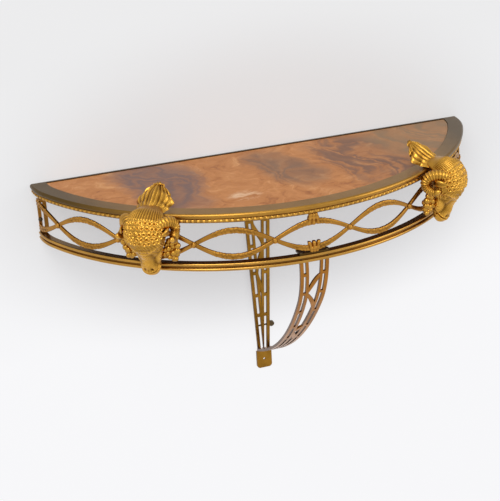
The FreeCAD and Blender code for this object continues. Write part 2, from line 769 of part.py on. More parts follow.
def pin_hole():
    """Bore of the cross pin through the strut."""
    z = strut_z(STRUT_PIN_SHARE)
    half = half_width_at(z, STRUT_TOP, STRUT_LOW)
    start = Vector(-half, -FLAT_THICKNESS / 2, z)
    return Part.makeCylinder(PIN_DIAMETER / 2, 2 * half, start, ASIDE)


def strut_stile():
    """Right stile of the strut."""
    pieces = stile_bars(STRUT_TOP, STRUT_LOW, BAR_GAP, FLAT_THICKNESS)
    for share in STRUT_SPACER_SHARES:
        pieces.append(stile_spacer(strut_z(share), SPACER_LENGTH, STRUT_TOP, STRUT_LOW, BAR_GAP,
                                   FLAT_THICKNESS))
    return fused(pieces).cut(pin_hole())


def strut_lattice(stiles):
    """Zigzag of leaves between the inner bars of the strut."""
    leaves = []
    side = -1
    for high, low in zip(STRUT_LEAF_SHARES, STRUT_LEAF_SHARES[1:]):
        ends = []
        for share, way in ((high, side), (low, -side)):
            z = strut_z(share)
            inner = half_width_at(z, STRUT_TOP, STRUT_LOW) - BAR - BAR_GAP - INNER_BAR / 2
            ends.append((way * inner, z))
        leaves.append(leaf_strap(ends[0], ends[1], LEAF_THICKNESS))
        side = -side
    return fused(leaves).cut(stiles)


def strut_pin(stile):
    """Cross pin of the strut, with a flat round head at its right."""
    z = strut_z(STRUT_PIN_SHARE)
    half = half_width_at(z, STRUT_TOP, STRUT_LOW)
    centre = Vector(half + STRUT_PIN_HEAD / 2 - PIN_DIAMETER / 2, 0, z)
    head = Part.makeCylinder(STRUT_PIN_HEAD / 2, FLAT_THICKNESS, centre, Vector(0, -1, 0))
    outside = box((half, WIDTH), (-DEPTH, 0), (z - STRUT_PIN_HEAD, z + STRUT_PIN_HEAD))
    head = head.common(outside)
    return fused([pin_hole(), head]).cut(stile)


def foot_tab():
    """Plate with rounded lower corners and the lower wall-screw hole."""
    low_z = TAB_TOP_Z - TAB_HEIGHT
    half = TAB_HALF_WIDTH
    corner = TAB_CORNER
    bend = corner * (1 - math.sin(QUARTER_TURN / 2))
    plan = wire_of(
        Vector(-half, 0, TAB_TOP_Z),
        Vector(-half, 0, low_z + corner),
        (Vector(-half + bend, 0, low_z + bend), Vector(-half + corner, 0, low_z)),
        Vector(half - corner, 0, low_z),
        (Vector(half - bend, 0, low_z + bend), Vector(half, 0, low_z + corner)),
        Vector(half, 0, TAB_TOP_Z))
    plate = Part.Face(plan).extrude(Vector(0, -FLAT_THICKNESS, 0))
    start = Vector(0, OVERRUN, TAB_TOP_Z - TAB_HOLE_DROP)
    return plate.cut(Part.makeCylinder(TAB_HOLE / 2, FLAT_THICKNESS + 2 * OVERRUN, start, Vector(0, -1, 0)))


def splice_screw_places():
    """Centres of the screws that join the strut to the back rail, on the splice plate's front."""
    places = []
    for x in (-STRUT_TOP_HALF + BAR / 2, STRUT_TOP_HALF - BAR / 2):
        inward = math.copysign(BAR / 2, x)
        for z in (STRUT_TOP_Z - SPLICE_OVERLAP / 2, STRUT_TOP_Z + SPLICE_OVERLAP / 4):
            places.append(Vector(x - inward / 2, -FLAT_THICKNESS - SPLICE_THICKNESS, z))
    return places


def pan_screw(seat, axis, length):
    """Screw with its head on the seat and its shank along the axis."""
    shank = Part.makeCylinder(SCREW_SHANK / 2, length, seat, axis)
    head = Part.makeCylinder(SCREW_HEAD / 2, SCREW_HEAD_HEIGHT, seat, axis * -1)
    return fused([shank, head])


def splice_plate(screws):
    """Plate over the joint of the strut's head and the back rail's leg."""
    low = STRUT_TOP_Z - SPLICE_OVERLAP
    high = STRUT_TOP_Z + SPLICE_OVERLAP / 2
    plate = box((-SPLICE_HALF_WIDTH, SPLICE_HALF_WIDTH),
                (-FLAT_THICKNESS - SPLICE_THICKNESS, -FLAT_THICKNESS), (low, high))
    return plate.cut(screws)


BRACE_TOP = (RAIL_LOW_Z, BRACE_TOP_HALF)
BRACE_LOW = (TAB_TOP_Z, BRACE_LOW_HALF)
BRACE_TOP_CENTRE = Vector(0, BRACE_INSET - DEPTH + BRACE_TOP_RADIUS, RAIL_LOW_Z)
BRACE_BEND = math.radians(BRACE_TURN)


def brace_normal(angle):
    """Direction from the inside of the brace to its outside."""
    return Vector(0, -math.cos(angle), -math.sin(angle))


def brace_arcs():
    """Centre, radius, start and end angle of the two tangent arcs of the brace's side profile."""
    joint = BRACE_TOP_CENTRE + brace_normal(BRACE_BEND) * BRACE_TOP_RADIUS
    foot = Vector(0, 0, TAB_TOP_Z + BRACE_THICKNESS / 2)
    run = foot - joint
    inward = brace_normal(BRACE_BEND) * -1
    radius = run.dot(run) / (2 * inward.dot(run))
    centre = joint + inward * radius
    end = math.atan2(centre.z - foot.z, centre.y - foot.y)
    return ((BRACE_TOP_CENTRE, BRACE_TOP_RADIUS, 0, BRACE_BEND), (centre, radius, BRACE_BEND, end))


def brace_at(share):
    """Height and slope angle at a share of the brace's length from its top."""
    upper, lower = brace_arcs()
    upper_run = upper[1] * upper[3]
    run = share * (upper_run + lower[1] * (lower[3] - lower[2]))
    if run <= upper_run:
        centre, radius, angle = upper[0], upper[1], run / upper[1]
    else:
        centre, radius, angle = lower[0], lower[1], lower[2] + (run - upper_run) / lower[1]
    return (centre + brace_normal(angle) * radius).z, angle


def brace_sheet(thickness):
    """Curved sheet, as wide as the brace, that its bars are cut from."""
    upper, lower = brace_arcs()

    def on_arc(arc, share, offset):
        centre, radius, start, end = arc
        return centre + brace_normal(start + (end - start) * share) * (radius + offset)

    half = thickness / 2
    side = wire_of(
        on_arc(upper, 0, half),
        (on_arc(upper, 0.5, half), on_arc(upper, 1, half)),
        (on_arc(lower, 0.5, half), on_arc(lower, 1, half)),
        on_arc(lower, 1, -half),
        (on_arc(lower, 0.5, -half), on_arc(lower, 0, -half)),
        (on_arc(upper, 0.5, -half), on_arc(upper, 0, -half)))
    sheet = Part.Face(side).extrude(ASIDE * WIDTH)
    sheet.translate(ASIDE * -HALF_WIDTH)
    return sheet.cut(wall_space())


def brace_stile(sheet):
    """Right stile of the brace."""
    low = (TAB_TOP_Z - TAB_HEIGHT, half_width_at(TAB_TOP_Z - TAB_HEIGHT, BRACE_TOP, BRACE_LOW))
    pieces = stile_bars(BRACE_TOP, low, BRACE_GAP, DEPTH)
    for share in BRACE_SPACER_SHARES:
        z, angle = brace_at(share)
        pieces.append(stile_spacer(z, SPACER_LENGTH * math.cos(angle), BRACE_TOP, low, BRACE_GAP, DEPTH))
    return fused(pieces).common(sheet)


def brace_lattice(stiles):
    """Two leaf chevrons between the inner bars of the brace."""
    leaves = []
    for chevron in BRACE_LEAF_SHARES:
        ends = []
        for share, side in zip(chevron, (1, -1, 1)):
            z, _ = brace_at(share)
            inner = half_width_at(z, BRACE_TOP, BRACE_LOW) - BAR - BRACE_GAP - INNER_BAR / 2
            ends.append((side * inner, z))
        leaves += [leaf_strap(ends[0], ends[1], DEPTH), leaf_strap(ends[1], ends[2], DEPTH)]
    chevrons = fused(leaves[:2]).Solids + fused(leaves[2:]).Solids
    return Part.makeCompound(chevrons).common(brace_sheet(LEAF_THICKNESS)).cut(stiles)


def tie_screws():
    """Screws down through the tie plate and the rail into the tops of the outer bars."""
    screws = []
    for x in (-BRACE_TOP_HALF + BAR / 2, BRACE_TOP_HALF - BAR / 2):
        seat = Vector(x, BRACE_INSET - DEPTH, RAIL_TOP_Z + TIE_THICKNESS)
        length = TIE_THICKNESS + RAIL_HEIGHT + TIE_SCREW_LENGTH
        screws.append(pan_screw(seat, Vector(0, 0, -1), length))
    return Part.makeCompound(screws)


def tie_plate(screws):
    """Flat plate on the rail, over the brace."""
    front = RAIL_INSET + REED_REACH - DEPTH + BRACE_TOP_HALF**2 / (2 * FRONT_RADIUS)
    back = RAIL_INSET + RAIL_DEPTH - DEPTH + TIE_OVERHANG
    plate = box((-BRACE_TOP_HALF, BRACE_TOP_HALF), (front, back), (RAIL_TOP_Z, RAIL_TOP_Z + TIE_THICKNESS))
    return plate.cut(screws)


def build():
    """All the pieces by name."""
    leg = back_leg()
    rim = bow_sweep(rim_outline).cut(leg)
    rail = bow_sweep(rail_outline)
    pieces = {
        "marble_top": marble_slab(),
        "rim_moulding": rim,
        "back_rail": back_rail(leg, rim),
        "bead_band": bow_sweep(band_outline),
    }

    ram_along = RAM_OVAL * PITCH
    strap_half = STRAP_WIDTH / 2
    right_strap = strap()
    straps = Part.makeCompound([mirrored(right_strap), right_strap])
    side_panel = frieze_panel(ram_along + strap_half, HALF_FRIEZE).cut(wall_space()).cut(straps)
    centre_panel = frieze_panel(strap_half - ram_along, ram_along - strap_half).cut(straps)
    crossings = [PITCH * (place - OVALS / 2) for place in range(OVALS + 1)]
    tie_bolts = tie_screws()
    plate = tie_plate(tie_bolts)
    lower_seat = RAIL_TOP_Z + TIE_THICKNESS
    pieces["frieze_left_panel"] = mirrored(side_panel)
    pieces["frieze_centre_panel"] = centre_panel
    pieces["frieze_right_panel"] = side_panel
    pieces["crossing_rosettes"] = Part.makeCompound([rosette(along) for along in crossings])
    pieces["upper_collar"] = collar(RIM_LOW_Z - UPPER_COLLAR_HEIGHT, RIM_LOW_Z, centre_panel)
    pieces["lower_collar"] = collar(lower_seat, lower_seat + LOWER_COLLAR_HEIGHT, centre_panel)
    pieces["lower_rail"] = rail.cut(tie_bolts)
    pin = end_pin()
    pieces["end_plate_right"] = end_plate().cut(pin)
    pieces["end_plate_left"] = mirrored(pieces["end_plate_right"])
    pieces["end_plate_pins"] = Part.makeCompound([mirrored(pin), pin])

    head = ram_head(rim)
    horns = ram_horns(head)
    rights = {
        "ram_strap": right_strap,
        "ram_head": head,
        "ram_horns": horns,
        "ram_crest": ram_crest(head),
        "ram_grapes": ram_grapes(Part.makeCompound([head, horns])),
    }
    for name, shape in rights.items():
        pieces[name + "_right"] = shape
        pieces[name + "_left"] = mirrored(shape)
    for name, shape in (("ram_studs", ram_stud()), ("ram_nuts", ram_nut())):
        pieces[name] = Part.makeCompound([mirrored(shape), shape])

    right_stile = strut_stile()
    stiles = Part.makeCompound([mirrored(right_stile), right_stile])
    splice_depth = SPLICE_THICKNESS + FLAT_THICKNESS / 2
    splice_screws = Part.makeCompound(
        [pan_screw(place, Vector(0, 1, 0), splice_depth) for place in splice_screw_places()])
    pieces["strut_right_stile"] = right_stile.cut(splice_screws)
    pieces["strut_left_stile"] = mirrored(pieces["strut_right_stile"])
    pieces["strut_lattice"] = strut_lattice(stiles)
    pieces["strut_splice_plate"] = splice_plate(splice_screws)
    pieces["strut_splice_screws"] = splice_screws
    pieces["back_rail"] = pieces["back_rail"].cut(splice_screws)
    pieces["strut_pin"] = strut_pin(right_stile)
    pieces["foot_tab"] = foot_tab()

    brace = brace_stile(brace_sheet(BRACE_THICKNESS))
    braces = Part.makeCompound([mirrored(brace), brace])
    pieces["brace_right_stile"] = brace.cut(tie_bolts)
    pieces["brace_left_stile"] = mirrored(pieces["brace_right_stile"])
    pieces["brace_lattice"] = brace_lattice(braces)
    pieces["brace_tie_plate"] = plate
    pieces["brace_tie_screws"] = tie_bolts
    return pieces


os.makedirs("parts", exist_ok=True)
for node, shape in build().items():
    shape.exportStep("parts/" + node + ".step")
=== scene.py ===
import json
import math

import bpy
import numpy as np
from mathutils import Matrix, Vector


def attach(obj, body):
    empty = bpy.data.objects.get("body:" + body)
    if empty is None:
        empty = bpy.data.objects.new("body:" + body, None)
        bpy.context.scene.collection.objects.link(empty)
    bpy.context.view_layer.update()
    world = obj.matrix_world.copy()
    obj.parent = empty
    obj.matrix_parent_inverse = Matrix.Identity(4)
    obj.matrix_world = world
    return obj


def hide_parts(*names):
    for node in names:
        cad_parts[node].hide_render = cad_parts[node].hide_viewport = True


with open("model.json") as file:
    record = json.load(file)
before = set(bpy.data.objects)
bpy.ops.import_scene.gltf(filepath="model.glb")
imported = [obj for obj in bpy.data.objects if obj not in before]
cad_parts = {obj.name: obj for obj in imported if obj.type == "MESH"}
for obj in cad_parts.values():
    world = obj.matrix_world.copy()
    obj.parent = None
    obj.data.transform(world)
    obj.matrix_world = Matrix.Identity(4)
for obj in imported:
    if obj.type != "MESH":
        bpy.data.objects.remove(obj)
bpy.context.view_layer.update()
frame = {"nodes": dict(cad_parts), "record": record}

nodes = frame["nodes"]
scene = bpy.context.scene

# Plan and levels of the table, in metres; the wall is Y = 0 and the front faces -Y
HALF_WIDTH = 0.380
DEPTH = 0.284
END_RADIUS = 0.114
TOP_Z = 0.023
RIM_LOW_Z = 0.008
RAIL_TOP_Z = -0.060
RAIL_GROOVE_Z = -0.0665
FRIEZE_INSET = 0.0085
FRIEZE_MID_Z = -0.0285
CROSSINGS = 8
PITCHES_PAST_CROSSING = 0.565
END_CENTRE_X = HALF_WIDTH - END_RADIUS
FRONT_RADIUS = (END_CENTRE_X**2 + DEPTH**2 - END_RADIUS**2) / (2 * (DEPTH - END_RADIUS))
FRONT_CENTRE_Y = FRONT_RADIUS - DEPTH
JOIN_ANGLE = math.atan2(END_CENTRE_X, FRONT_CENTRE_Y)
FRONT_RUN = (FRONT_RADIUS - FRIEZE_INSET) * JOIN_ANGLE
HALF_FRIEZE = FRONT_RUN + (END_RADIUS - FRIEZE_INSET) * (math.pi / 2 - JOIN_ANGLE)
PITCH = HALF_FRIEZE / ((CROSSINGS - 1) / 2 + PITCHES_PAST_CROSSING)
RAM_ALONG = 2 * PITCH
MM_PER_METRE = 1000

# Name of the attribute that holds how far each point of a carved piece stands up, 0 to 1
RELIEF = "relief"


def shade(red, green, blue):
    """A screen colour, 0 to 255, as the linear values that a shader takes, by the sRGB curve."""
    screen = np.array((red, green, blue)) / 255
    linear = np.where(screen <= 0.04045, screen / 12.92, ((screen + 0.055) / 1.055) ** 2.4)
    return (*linear.tolist(), 1.0)


# Shader node helpers

# A mix node's sockets share their names, so its factor, two colours and result go by place
MIX_FACTOR, MIX_FIRST, MIX_SECOND, MIX_RESULT = 0, 6, 7, 2


def feed(tree, socket, value):
    """Give an input a value, which is a socket or a constant."""
    if isinstance(value, bpy.types.NodeSocket):
        tree.links.new(value, socket)
    else:
        socket.default_value = value


def add_node(tree, kind, **inputs):
    """A shader node with values on its named inputs."""
    node = tree.nodes.new(kind)
    for name, value in inputs.items():
        feed(tree, node.inputs[name.replace("_", " ")], value)
    return node


def new_material(name, **inputs):
    """A material, its node tree and its surface shader, with values on the shader's inputs."""
    material = bpy.data.materials.new(name)
    material.use_nodes = True
    tree = material.node_tree
    surface = tree.nodes["Principled BSDF"]
    for socket, value in inputs.items():
        feed(tree, surface.inputs[socket.replace("_", " ")], value)
    return material, tree, surface


def operate(tree, kind, operation, values):
    """Outputs of a node of the kind that works out one operation on its inputs in turn."""
    node = tree.nodes.new(kind)
    node.operation = operation
    for socket, value in zip(node.inputs, values):
        feed(tree, socket, value)
    return node.outputs


def arithmetic(tree, operation, *values):
    """Result of one operation on numbers."""
    return operate(tree, "ShaderNodeMath", operation, values)["Value"]


def vector_math(tree, operation, *values):
    """Vector and Value outputs of one operation on vectors."""
    return operate(tree, "ShaderNodeVectorMath", operation, values)


def held_run(tree, value, start, end, top=1.0):
    """0 at start and top at end in a straight run, and held beyond them."""
    node = add_node(tree, "ShaderNodeMapRange", Value=value, From_Min=start, From_Max=end,
                    To_Max=top)
    return node.outputs["Result"]


def noise(tree, place, scale, detail, roughness, distortion=0.0):
    """Fac and Color outputs of a cloudy noise."""
    return add_node(tree, "ShaderNodeTexNoise", Vector=place, Scale=scale, Detail=detail,
                    Roughness=roughness, Distortion=distortion).outputs


def coordinates(tree, kind="Object"):
    """Place or normal in the object's own axes."""
    return tree.nodes.new("ShaderNodeTexCoord").outputs[kind]


def along_axes(tree, vector):
    """X, Y and Z outputs of a vector."""
    return add_node(tree, "ShaderNodeSeparateXYZ", Vector=vector).outputs


def laid(tree, place, **inputs):
    """Coordinates of a pattern that is moved, turned and stretched by the inputs."""
    node = add_node(tree, "ShaderNodeMapping", Vector=place, **inputs)
    node.vector_type = "TEXTURE"
    return node.outputs["Vector"]


def soft_patch(tree, place, centre, reach, lean=0.0, outer=1.25, inner=0.6):
    """1 inside an ellipsoid and 0 outside it, with a soft edge from the outer to the inner share.

    Lean turns it about the upright.
    """
    inside = laid(tree, place, Location=centre, Scale=reach, Rotation=(0.0, 0.0, lean))
    away = vector_math(tree, "LENGTH", inside)["Value"]
    edge = add_node(tree, "ShaderNodeMapRange", Value=away, From_Min=outer, From_Max=inner)
    edge.interpolation_type = "SMOOTHSTEP"
    return edge.outputs["Result"]


def ramp(tree, factor, stops):
    """A colour ramp through the stops of place and screen colour."""
    node = add_node(tree, "ShaderNodeValToRGB", Fac=factor)
    elements = node.color_ramp.elements
    while len(elements) < len(stops):
        elements.new(0.5)
    for element, (place, colour) in zip(elements, stops):
        element.position = place
        element.color = shade(*colour)
    return node.outputs["Color"]


def blend_colours(tree, factor, first, second):
    """A mix of two colours."""
    node = tree.nodes.new("ShaderNodeMix")
    node.data_type = "RGBA"
    for index, value in ((MIX_FACTOR, factor), (MIX_FIRST, first), (MIX_SECOND, second)):
        feed(tree, node.inputs[index], value)
    return node.outputs[MIX_RESULT]


def blend_shaders(tree, factor, first, second):
    """A mix of two shaders."""
    node = tree.nodes.new("ShaderNodeMixShader")
    for socket, value in zip(node.inputs, (factor, first, second)):
        feed(tree, socket, value)
    return node.outputs["Shader"]


# Finishes

CLOUD_SHARE = 0.7
GRAIN_SHARE = 0.5


def patina_group():
    """Old brass: worn bright metal over a browned coat that stays in hollows and drifting clouds.

    Colour runs from Hollow to Worn by Relief plus two sizes of noise; rougher where it is browned.
    """
    group = bpy.data.node_groups.new("brass_patina", "ShaderNodeTree")
    for way, kind, names in (("INPUT", "Color", ("Worn", "Hollow")),
                             ("INPUT", "Float", ("Relief", "Grain", "Cloud", "Smooth", "Rough")),
                             ("OUTPUT", "Color", ("Color",)),
                             ("OUTPUT", "Float", ("Roughness", "Height"))):
        for name in names:
            group.interface.new_socket(name, in_out=way, socket_type="NodeSocket" + kind)
    given = group.nodes.new("NodeGroupInput").outputs
    made = group.nodes.new("NodeGroupOutput").inputs
    place = coordinates(group)
    cloud = noise(group, place, given["Cloud"], detail=3.0, roughness=0.55)["Fac"]
    grain = noise(group, place, given["Grain"], detail=5.0, roughness=0.65)["Fac"]
    drift = arithmetic(group, "MULTIPLY_ADD", cloud, CLOUD_SHARE, -CLOUD_SHARE / 2)
    speck = arithmetic(group, "MULTIPLY_ADD", grain, GRAIN_SHARE, -GRAIN_SHARE / 2)
    worn = arithmetic(group, "ADD", given["Relief"], arithmetic(group, "ADD", drift, speck))
    worn.node.use_clamp = True
    gloss = add_node(group, "ShaderNodeMapRange", Value=worn, To_Min=given["Rough"],
                     To_Max=given["Smooth"])
    feed(group, made["Color"], blend_colours(group, worn, given["Hollow"], given["Worn"]))
    feed(group, made["Roughness"], gloss.outputs["Result"])
    feed(group, made["Height"], grain)
    return group


PATINA = patina_group()


def brass(name, worn, hollow, relief=0.6, carved=False, grain=900.0, cloud=22.0, smooth=0.25,
          rough=0.5, bands=None):
    """Brass with the patina between two screen colours.

    A carved finish takes its relief from the piece's own attribute; bands paint shade on set
    places.
    """
    material, tree, surface = new_material(name, Metallic=1.0)
    if carved:
        source = tree.nodes.new("ShaderNodeAttribute")
        source.attribute_name = RELIEF
        relief = source.outputs["Fac"]
    patina = tree.nodes.new("ShaderNodeGroup")
    patina.node_tree = PATINA
    for socket, value in (("Worn", shade(*worn)), ("Hollow", shade(*hollow)), ("Relief", relief),
                          ("Grain", grain), ("Cloud", cloud), ("Smooth", smooth), ("Rough", rough)):
        feed(tree, patina.inputs[socket], value)
    colour = patina.outputs["Color"]
    dents = add_node(tree, "ShaderNodeBump", Strength=0.15, Distance=0.0006,
                     Height=patina.outputs["Height"])
    feed(tree, surface.inputs["Base Color"], bands(tree, colour) if bands else colour)
    feed(tree, surface.inputs["Roughness"], patina.outputs["Roughness"])
    feed(tree, surface.inputs["Normal"], dents.outputs["Normal"])
    return material


def rail_painted_shade(tree, colour):
    """Painted shade: darken the flat top of the rail and the groove between its reeds, by height.
    """
    height = along_axes(tree, coordinates(tree))["Z"]
    away = arithmetic(tree, "ABSOLUTE", arithmetic(tree, "SUBTRACT", height, RAIL_GROOVE_Z))
    groove = held_run(tree, away, start=0.0016, end=0.0004, top=0.75)
    top = arithmetic(tree, "GREATER_THAN", height, RAIL_TOP_Z - 0.0004)
    shaded = arithmetic(tree, "MAXIMUM", groove, arithmetic(tree, "MULTIPLY", top, 0.7))
    # Painted shade colour for the groove and the flat top
    return blend_colours(tree, shaded, colour, shade(60, 42, 22))


def rim_painted_shade(tree, colour):
    """Painted shade: darken the flat top of the rim and, more so, its two ends at the wall."""
    place = along_axes(tree, coordinates(tree))
    aside = arithmetic(tree, "ABSOLUTE", place["X"])
    top = held_run(tree, place["Z"], start=TOP_Z - 0.0018, end=TOP_Z - 0.0002, top=0.45)
    ends = held_run(tree, aside, start=0.15, end=0.34, top=0.92)
    # Painted shade colour for the top and the ends
    return blend_colours(tree, arithmetic(tree, "MAXIMUM", top, ends), colour, shade(80, 64, 36))


def bar_side_painted_shade(tree, colour):
    """Painted shade on the sides of the bars, the faces whose normals point left or right."""
    aside = arithmetic(tree, "ABSOLUTE", along_axes(tree, coordinates(tree, "Normal"))["X"])
    shaded_sides = held_run(tree, aside, start=0.5, end=0.95, top=0.85)
    # Painted shade colour for the bar sides
    return blend_colours(tree, shaded_sides, colour, shade(72, 42, 16))


# Marble: places and screen colours of its mottled ground
MARBLE_GROUND = ((0.28, (138, 79, 43)), (0.42, (180, 116, 63)), (0.56, (194, 130, 76)),
                 (0.74, (216, 160, 106)))
# Clouds: middle, reach, lean, depth, screen colour and how strongly the bands cut them
MARBLE_CLOUDS = (((-0.192, -0.100), (0.064, 0.130), 0.10, 0.92, (112, 90, 86), 0.30),
                 ((0.016, -0.108), (0.052, 0.096), 0.25, 0.85, (120, 92, 74), 0.35),
                 ((0.158, -0.125), (0.072, 0.130), 0.15, 0.85, (112, 82, 68), 0.70),
                 ((0.285, -0.060), (0.105, 0.110), 0.00, 0.95, (138, 110, 80), 0.40))
PALE_DRIFT = ((-0.082, -0.200, 0.0), (0.026, 0.020, 1.0))
PALE_COLOUR = (226, 188, 152)
CLOUD_BEND = (0.11, 0.09, 0.0)
BAND_RATE = 84.0


def marble():
    """Terracotta marble with rose-grey clouds, each an oval of the plan bent by noise.

    Contour lines of a slow noise give the clouds fine bands. A broken pale drift lies near the
    front.
    """
    material, tree, surface = new_material("marble", Roughness=0.32, Specular_IOR_Level=0.08)
    place = coordinates(tree)
    drift = noise(tree, place, scale=11.0, detail=4.0, roughness=0.55)["Color"]
    shift = vector_math(tree, "SUBTRACT", drift, (0.5, 0.5, 0.5))["Vector"]
    bent = vector_math(tree, "MULTIPLY_ADD", shift, CLOUD_BEND, place)["Vector"]
    drawn_out = laid(tree, bent, Scale=(2.0, 0.6, 1.0), Rotation=(0.0, 0.0, -1.3))
    fold = noise(tree, drawn_out, scale=5.5, detail=3.0, roughness=0.45, distortion=0.5)["Fac"]
    wave = arithmetic(tree, "SINE", arithmetic(tree, "MULTIPLY", fold, BAND_RATE))
    lines = arithmetic(tree, "MULTIPLY_ADD", wave, 0.5, 0.5)
    mottle = noise(tree, bent, scale=32.0, detail=8.0, roughness=0.68, distortion=0.6)["Fac"]
    colour = ramp(tree, mottle, MARBLE_GROUND)
    for centre, reach, lean, depth, tint, cut in MARBLE_CLOUDS:
        cloud = soft_patch(tree, bent, (*centre, 0.0), (*reach, 1.0), lean)
        cloud = arithmetic(tree, "MULTIPLY", cloud, depth)
        banded = arithmetic(tree, "MULTIPLY_ADD", lines, -cut, 1.0)
        cloud = arithmetic(tree, "MULTIPLY", cloud, banded)
        colour = blend_colours(tree, cloud, colour, shade(*tint))
    broken = held_run(tree, mottle, start=0.46, end=0.6, top=0.8)
    pale = arithmetic(tree, "MULTIPLY", soft_patch(tree, place, *PALE_DRIFT), broken)
    colour = blend_colours(tree, pale, colour, shade(*PALE_COLOUR))
    feed(tree, surface.inputs["Base Color"], colour)
    return material


BRASSES = {
    "rim_brass": dict(worn=(198, 146, 62), hollow=(118, 84, 36), smooth=0.24, rough=0.46,
                      bands=rim_painted_shade),
    "band_brass": dict(worn=(210, 156, 68), hollow=(92, 58, 18), relief=0.55),
    "pearl_brass": dict(worn=(218, 164, 72), hollow=(96, 60, 18), carved=True, smooth=0.2,
                        rough=0.46),
    "frieze_brass": dict(worn=(198, 144, 64), hollow=(88, 54, 18), relief=0.55, cloud=40.0,
                         smooth=0.3, rough=0.52),
    "carved_frieze": dict(worn=(202, 146, 62), hollow=(88, 52, 16), carved=True, cloud=40.0,
                          smooth=0.26),
    "rail_brass": dict(worn=(206, 156, 74), hollow=(104, 70, 28), relief=0.68, smooth=0.16,
                       rough=0.36, bands=rail_painted_shade),
    "ram_brass": dict(worn=(214, 160, 66), hollow=(108, 70, 20), relief=0.68, smooth=0.32),
    "carved_ram": dict(worn=(216, 162, 66), hollow=(100, 64, 16), carved=True, grain=700.0,
                       cloud=60.0, smooth=0.17, rough=0.46),
    "strut_brass": dict(worn=(188, 136, 50), hollow=(74, 48, 14), relief=0.56, cloud=34.0,
                        rough=0.46, bands=bar_side_painted_shade),
    "brace_brass": dict(worn=(200, 136, 60), hollow=(88, 50, 18), cloud=30.0, smooth=0.2,
                        rough=0.42, bands=bar_side_painted_shade),
    "fastener_steel": dict(worn=(112, 94, 68), hollow=(40, 32, 22), relief=0.5),
    # Painted shade: a darker copy of the brass for the back rail and the brace's tie plate
    "shaded_plate": dict(worn=(112, 84, 44), hollow=(44, 30, 14), relief=0.45),
}
SHADED_NODES = ("brace_tie_plate", "back_rail")
FINISHES = {"marble": marble(), **{name: brass(name, **look) for name, look in BRASSES.items()}}

# The back rail and the brace's tie plate take the darker brass as painted shade
for part in frame["record"]["subparts"]:
    shaded = part["node"] in SHADED_NODES
    coats = nodes[part["node"]].data.materials
    coats.clear()
    coats.append(FINISHES["shaded_plate" if shaded else part["material_slot"]])


# Surfaces on grids


def full_turn(count):
    """Angles once round, as one row of a grid."""
    return np.linspace(0, 2 * np.pi, count, endpoint=False)[None, :]


def points_of(x, y, z):
    """Points from coordinates that are spread over one grid."""
    return np.stack(np.broadcast_arrays(x, y, z), axis=-1)


def unit(vectors):
    """Vectors of length 1 in the same directions."""
    return vectors / np.maximum(np.linalg.norm(vectors, axis=-1, keepdims=True), 1e-12)


def bump(distance, width):
    """A bell-shaped rise: the exponential of minus the square of distance over width."""
    return np.exp(-(distance / width) ** 2)


def fade(value, start, end):
    """0 at start and 1 at end, with a smooth run between: 3t^2 - 2t^3."""
    part = np.clip((value - start) / (end - start), 0, 1)
    return part * part * (3 - 2 * part)


def between(value, start, full, falling, end):
    """0 at start, 1 from full to falling and 0 again at end, with smooth runs."""
    return fade(value, start, full) * fade(-value, -end, -falling)


def dome(*shares):
    """Height of a half ellipsoid, 1 at its middle, at shares of its half axes."""
    return np.sqrt(np.clip(1 - sum(share**2 for share in shares), 0, 1))


def squared(value, power):
    """A sine or cosine pushed out to its ends, which turns an oval into a rounded oblong."""
    return np.sign(value) * np.abs(value) ** power


def smooth_table(rows, places):
    """Values between the rows of a table, at places 0 to 1 along it.

    Catmull-Rom: a cubic through each row whose slope there is half the step between its neighbours.
    """
    rows = np.asarray(rows, float)
    last = len(rows) - 1
    spot = np.clip(places, 0, 1) * last
    step = np.minimum(spot.astype(int), last - 1)
    part = (spot - step)[..., None]
    padded = np.vstack((2 * rows[:1] - rows[1:2], rows, 2 * rows[-1:] - rows[-2:-1]))
    before, here, there, after = (padded[step + shift] for shift in range(4))
    return here + part / 2 * (there - before + part * (
        2 * before - 5 * here + 4 * there - after + part * (3 * (here - there) + after - before)))


def grid_normals(points):
    """Outward unit normals of a grid closed round its columns: cross product of its two slopes."""
    ringed = np.concatenate((points[:, -1:], points, points[:, :1]), axis=1)
    along = np.gradient(points, axis=0)
    around = np.gradient(ringed, axis=1)[:, 1:-1]
    normals = unit(np.cross(along, around))
    centre = points.mean(axis=1, keepdims=True)
    return normals * np.sign(np.sum(normals * (points - centre)))


def closed_tube(points, relief=0.6):
    """Vertices, quads, end fans and relief of a grid that is closed round its columns."""
    rows, columns, _ = points.shape
    index = np.arange(rows * columns).reshape(rows, columns)
    after = np.roll(index, -1, axis=1)
    quads = np.stack((index[:-1], after[:-1], after[1:], index[1:]), axis=-1).reshape(-1, 4)
    poles = rows * columns + np.array((0, 1))
    fans = np.concatenate((
        np.stack((np.full(columns, poles[0]), after[0], index[0]), axis=-1),
        np.stack((np.full(columns, poles[1]), index[-1], after[-1]), axis=-1)))
    spots = np.concatenate((points.reshape(-1, 3), points[[0, -1]].mean(axis=1)))
    marks = np.broadcast_to(relief, (rows, columns)).reshape(-1)
    marks = np.concatenate((marks, marks[[0, -1]]))
    return spots, quads, fans, marks


def volume(spots, quads, fans):
    """Signed volume inside the faces: the sum of the tetrahedra to the origin."""
    corners = np.concatenate((quads[:, :3], quads[:, [0, 2, 3]], fans))
    first, second, third = (spots[corners[:, corner]] for corner in range(3))
    return np.sum(first * np.cross(second, third)) / 6


def into_scene(name, data):
    """A new object in the scene."""
    thing = bpy.data.objects.new(name, data)
    scene.collection.objects.link(thing)
    return thing


